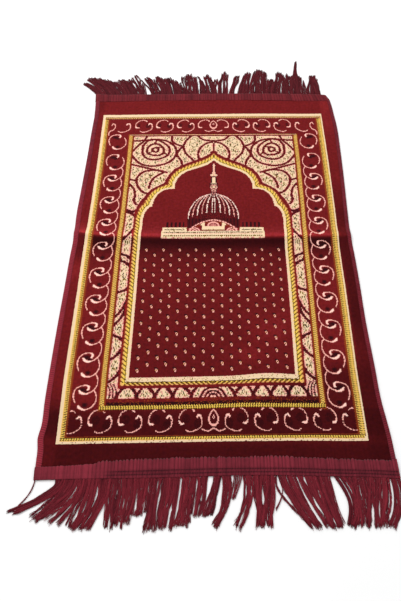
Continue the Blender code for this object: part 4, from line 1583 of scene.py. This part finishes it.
@dataclass
class OvercastEdge:
    """The yarn overcast down one long side: a bead ridged by its slanting stitches."""

    name: str
    side: str
    width: float
    node: str
    # How light its painted light makes its near and its far part
    painted_lightness: tuple
    stitch: float = 4.2 * MM
    rows_per_stitch: int = 5
    slant: float = 0.30
    ridge: float = 0.55 * MM
    profile: Array = table_field("inward upward ridged", [
        (0.06, 0, 0), (0, 0.2, 0.7), (0, 0.38, 1), (0.05, 0.6, 1), (0.12, 0.78, 1), (0.24, 0.92, 1),
        (0.38, 1, 1), (0.54, 1, 1), (0.68, 0.98, 1), (0.81, 0.9, 1), (0.92, 0.8, 0.8), (1, 0.66, 0.3),
        (1, 0, 0),
    ])

    def build(self, finish: Material) -> Object:
        """Makes the bead.

        The profile is carried along the edge. Each point is moved out from the bead's heart by the
        height of a stitch, the rounded top of a sine whose phase slants across the profile.
        """
        middle = np.zeros(1)
        crease = Lay.cross_line("crease", middle)
        lengths = [abs(Lay.cross_line(seam, middle) - crease)[0] for seam in ("near_seam", "far_seam")]
        halves = [round(length / self.stitch * self.rows_per_stitch) for length in lengths]
        rows = np.concatenate([np.linspace(-1, 0, halves[0], endpoint=False), np.linspace(0, 1, halves[1])])
        inward = self.profile["inward"] * (self.width - PIECE_GAP / 2)
        upward = self.profile["upward"] * BINDING_HEIGHT
        from_heart = np.stack([inward - 0.55 * self.width, upward - 0.35 * BINDING_HEIGHT])
        from_heart /= np.linalg.norm(from_heart, axis=0)

        stitch_count = (np.arange(len(rows)) / self.rows_per_stitch)[:, None]
        random = np.random.default_rng(len(self.side))
        knots = np.arange(0, len(rows), 37)
        wander = np.interp(np.arange(len(rows)), knots, random.normal(0, 0.22, len(knots)))[:, None]
        phase = stitch_count + wander + self.slant * np.arange(len(inward))[None, :] / 4
        height = np.abs(np.sin(np.pi * phase)) ** 0.75
        moved = self.ridge * (height - 0.6) * self.profile["ridged"][None, :]
        row, inset = np.meshgrid(rows, inward, indexing="ij")
        inset = np.maximum(inset + moved * from_heart[0], 0)
        nothing = np.zeros_like(row)
        if self.side == "left":
            x, y = Lay.lay(nothing, row, inset, nothing)
        else:
            x, y = Lay.lay(nothing + 1, row, nothing, inset)
        z = np.maximum(Lay.lift(x, y) + upward + moved * from_heart[1], 0)
        marks = np.arange(0, len(rows), 7)
        mottle = np.interp(np.arange(len(rows)), marks, random.uniform(0.72, 1.2, len(marks)))[:, None]
        near, far = self.painted_lightness
        # Painted light, lighter or darker by its part along the edge, with painted shade in the grooves
        # between stitches and random mottle
        tone = (near + (far - near) * ease(y, 0.05, 0.25)) * height * mottle
        piece = carried_bar(self.name, np.stack([x, y, z], -1), tone, 0.5, self.side == "right")
        add_to_rug(piece, finish, [self.node])
        return piece


def line_ends(line: str) -> Array:
    """Gives the x of the two places where a line across the rug meets its side edges."""
    found = []
    for side in ("left", "right"):
        x = np.zeros(1)
        for _ in range(LAY_REPEATS):
            x = Lay.side_edge(side, Lay.cross_line(line, x))
        found.append(x[0])
    return np.array(found)


@dataclass
class StitchedHeading:
    """The whip-stitched band across one short end: fine stitches in scallops, then a dark braid.

    Its profile runs from the seam, over the top, to the outer edge.
    """

    name: str
    end: str
    node: str
    scallop: float
    lap: float
    scallop_relief: float
    profile: Array
    # The braid starts at this place across the rug
    braid_from: float = -1.0
    # How much lighter its left part is
    left_light: float = 0.0
    # How much further it laps over the pile from the braid's start on
    step: float = 0.0
    yarn_pitch: float = 2.2 * MM
    columns_per_yarn: int = 4
    yarn_relief: float = 0.32 * MM
    braid_pitch: float = 4.6 * MM
    flare_power: int = 6
    seed: int = 3

    def build(self, finish: Material) -> Object:
        """Makes the band.

        The profile is carried across the rug. Its seam edge laps further over the pile at the middle
        of each scallop. The stitches are the rounded tops of a sine across the rug, and the braid's
        are a slanting sine.
        """
        ends = line_ends(f"{self.end}_edge")
        seam_ends = line_ends(f"{self.end}_seam")
        count = round((ends[1] - ends[0]) / self.yarn_pitch * self.columns_per_yarn)
        share = np.linspace(0, 1, count)[:, None]
        columns = ends[0] + share * (ends[1] - ends[0])
        left_flare = (1 - share) ** self.flare_power * (seam_ends[0] - ends[0])
        right_flare = share**self.flare_power * (seam_ends[1] - ends[1])
        through = self.profile["through"][None, :]

        random = np.random.default_rng(self.seed)
        marks = np.arange(0, count, 17)
        wander = np.interp(np.arange(count), marks, random.normal(0, 0.30, len(marks)))[:, None]
        size = np.interp(np.arange(count), marks, random.uniform(0.35, 1.3, len(marks)))[:, None]
        scallop = np.abs(np.sin(np.pi * (columns / self.scallop + wander))) ** 0.6 * size
        stitch = np.abs(np.sin(np.pi * (columns / self.yarn_pitch + 0.4 * wander + 0.5 * through))) ** 0.8
        braid = np.abs(np.sin(np.pi * (columns / self.braid_pitch + 3.2 * through))) ** 0.8
        begun = ease(columns, self.braid_from, self.braid_from + 0.03)
        braided = self.profile["braided"] * (0.12 + 0.88 * begun)

        x = columns + (left_flare + right_flare) * (1 - through)
        seam = Lay.cross_line(f"{self.end}_seam", x)
        outer = Lay.cross_line(f"{self.end}_edge", x)
        inward = 1 if self.end == "near" else -1
        loose = ease(columns, self.braid_from - 0.012, self.braid_from)
        lap = self.lap * (0.3 + 0.7 * loose) * scallop + self.step * loose
        y = seam + through * (outer - seam) + inward * lap * self.profile["lapped"]
        z = self.profile["upward"] * HEADING_HEIGHT
        raised = self.yarn_relief * (stitch - 0.7) + self.scallop_relief * (scallop - 0.8)
        z = z + self.profile["stitched"] * raised
        z = z + braided * 2.4 * self.yarn_relief * (braid - 1.0)
        # Painted shade in the grooves between stitches and between scallops, darker still in the braid's
        # grooves, and along the seam and the outer edge
        open_part = 0.24 + 0.74 * stitch * (0.08 + 0.92 * scallop)
        open_part = open_part + self.left_light * ease(-columns, 0.18, 0.24)
        tone = open_part * (1 - braided * (1.05 - 0.45 * braid)) - 0.12 * self.profile["edged"]
        piece = carried_bar(self.name, np.stack([x, y, z], -1), tone, 0.4, self.end == "far")
        add_to_rug(piece, finish, [self.node])
        return piece


def heading_profile(rows: Sequence[tuple]) -> Array:
    """Makes a heading's profile: place and height, how much it laps, and its stitch, braid and painted shade
    along its edges.
    """
    return named_table("through upward lapped stitched braided edged", rows)


NEAR_PROFILE = heading_profile([
    (0, 0, 0, 0, 0, 1), (0, 0.78, 0, 0, 0, 1), (0, 0.88, 1, 0.5, 0, 1), (0.03, 0.99, 0.9, 1, 0, 0),
    (0.12, 1.04, 0.4, 1, 0, 0), (0.24, 1.05, 0, 1, 0, 0), (0.36, 1.03, 0, 1, 0, 0),
    (0.46, 0.98, 0, 1, 0.2, 0), (0.54, 0.9, 0, 0.7, 1, 0), (0.62, 0.86, 0, 0.4, 0.5, 0),
    (0.69, 0.86, 0, 0.4, 0.4, 0), (0.76, 0.84, 0, 0.3, 1, 0), (0.85, 0.82, 0, 0.6, 0.3, 0),
    (0.94, 0.74, 0, 0.8, 0, 0), (1, 0.6, 0, 0.3, 0, 2), (1, 0, 0, 0, 0, 2),
])
FAR_PROFILE = heading_profile([
    (0, 0, 0, 0, 0, 0), (0, 0.62, 0, 0, 0, 0), (0, 0.74, 1, 0.3, 0, 0), (0.05, 0.8, 0.8, 0.7, 0, 0),
    (0.15, 0.86, 0.3, 1, 0, 0), (0.3, 0.9, 0, 1, 0, 0), (0.45, 0.92, 0, 1, 0, 0), (0.6, 0.92, 0, 1, 0, 0),
    (0.75, 0.9, 0, 1, 0, 0), (0.88, 0.84, 0, 1, 0, 0), (1, 0.66, 0, 0.3, 0, 0), (1, 0, 0, 0, 0, 0),
])


@dataclass
class Fringe:
    """Loose yarns across one short end, in bunches that lean and gather.

    Its table gives where each bunch's roots and tips start and end across the rug, its reach, its
    bow to the right and half the thickness of its strands, in metres.
    """

    name: str
    end: str
    bunches: Array
    yarns_per_strand: int
    strand_pitch: float = 3.2 * MM
    bend: float = 1.35
    steps: int = 12
    sides: int = 3
    radius: float = 0.64 * MM
    sway: float = 2.9 * MM
    full_strand: float = 2.6 * MM
    wild_share: float = 0.10
    wild_sway: float = 10 * MM
    root_inset: float = 2.5 * MM
    rounding: float = 0.05
    seed: int = 5

    def strands(self, random: np.random.Generator) -> tuple:
        """Lays out the middle lines of the strands.

        A strand keeps its place in its bunch, first by the roots and then by the tips. It leans
        from root to tip, bows with its bunch and sways on its own by a sine that grows from nothing
        at the root.

        Returns:
            Each strand's bunch, and its x and y at every step.
        """
        counts = np.round((self.bunches["root_to"] - self.bunches["root_from"]) / self.strand_pitch)
        counts = np.maximum(counts, 1).astype(int)
        bunch = np.repeat(self.bunches, counts)[:, None]
        place = np.concatenate([np.arange(count) for count in counts])[:, None]
        aside = 2 * (place + 0.5) / np.repeat(counts, counts)[:, None] - 1
        normal = random.normal(0, 1, (4, *aside.shape))
        gone = np.linspace(0, 1, self.steps)[None, :]
        gathered = ease(gone, 0.25, 0.95)
        root = (bunch["root_from"] + bunch["root_to"]) / 2
        tip = (bunch["tip_from"] + bunch["tip_to"]) / 2
        x = root + (bunch["root_to"] - root) * aside * (1 - gathered)
        x += (bunch["tip_to"] - tip) * (aside + 0.16 * normal[0]) * gathered
        x += (tip - root) * gone**self.bend + bunch["bow"] * np.sin(np.pi * gone)
        turns = random.uniform(0.4, 1.2, aside.shape)
        phase = random.uniform(0, 2 * np.pi, aside.shape)
        swing = np.sin(2 * np.pi * turns * gone + phase)
        x += self.sway * (bunch["strand"] / self.full_strand) * normal[1] * gone * swing
        wild = (random.random(aside.shape) < self.wild_share) & (bunch["strand"] > 0.8 * self.full_strand)
        x += wild * self.wild_sway * normal[2] * np.sin(np.pi * gone**0.8)
        reach = bunch["reach"] * (1 + 0.03 * normal[3]) * (1 - self.rounding * aside**2)
        outward = -1 if self.end == "near" else 1
        y = Lay.cross_line(f"{self.end}_edge", x[:, :1])
        y = y + outward * (gone * (reach + self.root_inset) - self.root_inset)
        return bunch, x, y

    def build(self, finish: Material) -> Object:
        """Makes the yarns.

        The yarns of a strand wind loosely about its middle line, at their own distances from it, and
        end a little before or beyond it. A strand lies at its own height above the floor, and the
        whole thins out towards the tips.
        """
        random = np.random.default_rng(self.seed)
        bunch, middle_x, middle_y = self.strands(random)
        strands = len(bunch)
        own = random.normal(0, 1, (2, strands, 1))
        level = random.uniform(0, 1, (strands, 1))
        run_x, run_y = np.gradient(middle_x, axis=1), np.gradient(middle_y, axis=1)
        run = np.hypot(run_x, run_y)
        lines = (middle_x, middle_y, -run_y / run, run_x / run, bunch["strand"], own[0], own[1], level)
        x, y, level_x, level_y, half, twist, shade, level = (
            np.repeat(line, self.yarns_per_strand, axis=0) for line in lines
        )
        yarns = len(x)
        gone = np.linspace(0, 1, self.steps)[None, :]
        turn = random.uniform(0, 2 * np.pi, (yarns, 1)) + 2.2 * np.pi * twist * gone
        away = half * np.sqrt(random.uniform(0.05, 1, (yarns, 1))) * (0.85 + 0.35 * gone**3)
        stretch = 0.025 * random.normal(0, 1, (yarns, 1)) * gone**2
        x = x + level_x * away * np.cos(turn) + stretch * (x - x[:, :1])
        y = y + level_y * away * np.cos(turn) + stretch * (y - y[:, :1])

        thick = LOCK_ROOT_HEIGHT + (LOCK_TIP_HEIGHT + 0.8 * MM - LOCK_ROOT_HEIGHT) * gone
        layer = 0.55 * level + 0.225 * (1 + np.sin(turn))
        radii = self.radius * random.uniform(0.8, 1.15, (yarns, 1)) * (1 - 0.3 * gone**3)
        z = 1.15 * radii + layer * (thick - 2.3 * radii)
        points, quads, *caps = yarn_tubes(np.stack([x, y, z], -1), radii, self.sides)
        piece = build_piece(self.name, points, [quads, *caps], smooth=True)

        # Painted shade: yarns lower in a strand are darker, with random tone for each strand and yarn
        tone = 0.26 + 0.44 * layer + 0.09 * shade + random.normal(0, 0.08, (yarns, 1))
        sides = np.repeat(tone[:, 1:], self.sides, axis=1)
        mark_faces(piece, "tone", np.concatenate([sides.ravel(), tone[:, 0], tone[:, -1]]))
        add_to_rug(piece, finish)
        return piece


BUNCH_COLUMNS = "root_from root_to tip_from tip_to reach bow strand"
NEAR_BUNCHES = named_table(BUNCH_COLUMNS, [
    (-323, -319, -348, -344, 48, 4, 1), (-283, -262, -362, -340, 58, 12, 2.6),
    (-270, -240, -320, -290, 69, 5, 2.8), (-245, -222, -292, -260, 76, 5, 2.8),
    (-234, -229, -257, -253, 78, 0, 1.2), (-227, -182, -247, -208, 85, 4, 2.8),
    (-185, -165, -190, -167, 83, 0, 2.8), (-168, -137, -171, -143, 78, 3, 2.8),
    (-137, -110, -146, -119, 64, 0, 2.8), (-110, -85, -121, -94, 90, 0, 2.8),
    (-86, -50, -96, -58, 88, 0, 2.8), (-50, -28, -61, -39, 84, 0, 2.8), (-30, -3, -36, -14, 69, 0, 2.6),
    (4, 18, -18, 2, 73, 0, 2.4), (18, 34, 0, 12, 87, 8, 2.4), (40, 56, 34, 42, 42, 0, 0.9),
    (56, 72, 42, 58, 88, 6, 2.4), (75, 113, 77, 106, 88, 0, 2.4), (119, 121, 111, 113, 60, 9, 0.5),
    (116, 160, 160, 198, 86, 0, 2.5), (160, 190, 199, 215, 87, 0, 2.6), (190, 211, 213, 230, 87, 0, 2.6),
    (218, 245, 234, 252, 84, 14, 2.6), (245, 282, 251, 274, 84, 4, 2.8), (282, 318, 273, 304, 84, 0, 2.8),
    (318, 335, 303, 318, 84, 8, 2.6),
], MM)
FAR_BUNCHES = named_table(BUNCH_COLUMNS, [
    (-320, -290, -365, -343, 52, 0, 2.6), (-300, -270, -354, -323, 76, 0, 2.8),
    (-280, -250, -328, -296, 72, 0, 2.8), (-262, -234, -303, -266, 62, 0, 3),
    (-242, -206, -272, -234, 66, 0, 3), (-214, -192, -242, -220, 68, 0, 2.8),
    (-197, -185, -224, -210, 88, 0, 2.4), (-190, -178, -200, -188, 50, 0, 0.9),
    (-165, -140, -195, -166, 76, 0, 2.7), (-141, -112, -162, -135, 78, 0, 2.8),
    (-118, -90, -136, -106, 72, 0, 2.8), (-92, -73, -108, -84, 58, 0, 2.7),
    (-75, -45, -82, -50, 86, 0, 2.7), (-48, -28, -53, -34, 78, 0, 2.7), (-28, -10, -36, -24, 60, 0, 2.6),
    (-10, 14, -24, 0, 82, 0, 2.7), (12, 22, 5, 20, 66, 0, 2.4), (22, 45, 25, 47, 95, 0, 2.7),
    (48, 62, 65, 80, 82, 0, 2.4), (72, 104, 92, 114, 95, 0, 2.6), (106, 155, 122, 155, 102, 0, 2.8),
    (150, 166, 156, 173, 68, 0, 2.6), (165, 198, 181, 201, 92, 0, 2.8), (198, 220, 200, 220, 84, 0, 2.8),
    (216, 244, 238, 243, 142, 0, 2.2), (218, 246, 220, 246, 84, 0, 2.6), (240, 262, 246, 260, 60, 0, 1.2),
    (262, 300, 275, 292, 82, 0, 2.5),
], MM)


@dataclass
class Studio:
    """The camera, the sky, one soft light and the floor."""

    camera_place: tuple = (0.01717, -0.84110, 1.08311)
    camera_turn: tuple = (32.8935, 1.80147, 0.54803)
    sensor: float = 36.0
    focal_length: float = 36.0 * 600 / 601
    floor_size: float = 8.0
    floor_drop: float = 0.3 * MM
    sky_strength: float = 0.80

    def camera(self) -> None:
        """Stands the camera where the photo was taken from."""
        data = bpy.data.cameras.new("camera")
        data.sensor_width = self.sensor
        data.lens = self.focal_length
        data.clip_start = 0.01
        holder = add_object("camera", data)
        holder.location = self.camera_place
        holder.rotation_euler = Euler([radians(angle) for angle in self.camera_turn], "XYZ")
        bpy.context.scene.camera = holder

    def light(self, name: str, place: tuple, aim: tuple, size: float, power: float) -> None:
        """Hangs a square soft light that looks from its place at its aim."""
        data = bpy.data.lights.new(name, "AREA")
        data.size = size
        data.energy = power
        lamp = add_object(name, data)
        lamp.location = place
        away = np.array(place) - np.array(aim)
        tilt = np.arctan2(np.hypot(away[0], away[1]), away[2])
        swing = np.arctan2(away[0], -away[1])
        lamp.rotation_euler = (tilt, 0, swing)

    def build(self) -> None:
        """Makes the camera, the sky, the light and the floor."""
        self.camera()
        scene = bpy.context.scene
        scene.view_settings.view_transform = "Standard"
        world = bpy.data.worlds.new("soft_sky")
        world.use_nodes = True
        sky = world.node_tree.nodes["Background"]
        sky.inputs["Color"].default_value = (1.0, 1.0, 1.0, 1.0)
        sky.inputs["Strength"].default_value = self.sky_strength
        scene.world = world
        self.light("high_softbox", (-0.9, 1.3, 2.4), (0.0, 0.0, 0.0), 1.6, 42.0)
        half = self.floor_size / 2
        corners = [(-half, -half), (half, -half), (half, half), (-half, half)]
        points = np.array([(x, y, -self.floor_drop) for x, y in corners])
        floor = build_piece("floor", points, [np.array([[0, 1, 2, 3]])], smooth=False)
        floor.data.materials.append(FloorFinish().material())


def main() -> None:
    """Builds the studio and the rug, and reports each piece."""
    logging.basicConfig(level=logging.INFO, format="%(name)s: %(message)s")
    Studio().build()
    cloth = VelvetCloth()
    backing, *pile = cloth.build()

    overcast = YarnFinish("overcast_yarn", (146, 46, 58), (60, 16, 24), Grain.CROSSWISE, sheen=0.10)
    edges = [
        OvercastEdge("left_overcast", "left", LEFT_BINDING_WIDTH, "left_overcast_binding", (1.35, 0.75)),
        OvercastEdge("right_overcast", "right", RIGHT_BINDING_WIDTH, "right_overcast_binding", (0.62, 0.62)),
    ]
    overcast_material = overcast.material()
    sewn = [edge.build(overcast_material) for edge in edges]

    near_yarn = YarnFinish("near_heading_yarn", (138, 46, 59), (48, 14, 20), Grain.LENGTHWISE, sheen=0.12)
    near_band = StitchedHeading(
        "near_heading", "near", "near_fringed_heading", scallop=6.8 * MM, lap=4.4 * MM,
        scallop_relief=0.8 * MM, profile=NEAR_PROFILE, braid_from=-0.205, left_light=0.18, step=2.2 * MM,
    )
    far_yarn = YarnFinish("far_heading_yarn", (128, 41, 48), (48, 13, 18), Grain.LENGTHWISE, sheen=0.04)
    far_band = StitchedHeading(
        "far_heading", "far", "far_fringed_heading", scallop=8 * MM, lap=2.4 * MM,
        scallop_relief=0.7 * MM, profile=FAR_PROFILE, seed=4,
    )
    sewn += [near_band.build(near_yarn.material()), far_band.build(far_yarn.material())]

    near_loose = YarnFinish("near_fringe_yarn", (140, 42, 54), (46, 13, 19), Grain.LENGTHWISE, sheen=0.04)
    far_loose = YarnFinish("far_fringe_yarn", (112, 35, 43), (40, 12, 16), Grain.LENGTHWISE, sheen=0.02)
    near_fringe = Fringe("near_fringe", "near", NEAR_BUNCHES, yarns_per_strand=11)
    far_fringe = Fringe(
        "far_fringe", "far", FAR_BUNCHES, yarns_per_strand=10, strand_pitch=3.1 * MM, radius=0.72 * MM,
        rounding=0.16, seed=6,
    )
    sewn += [near_fringe.build(near_loose.material()), far_fringe.build(far_loose.material())]


if __name__ == "__main__":
    main()
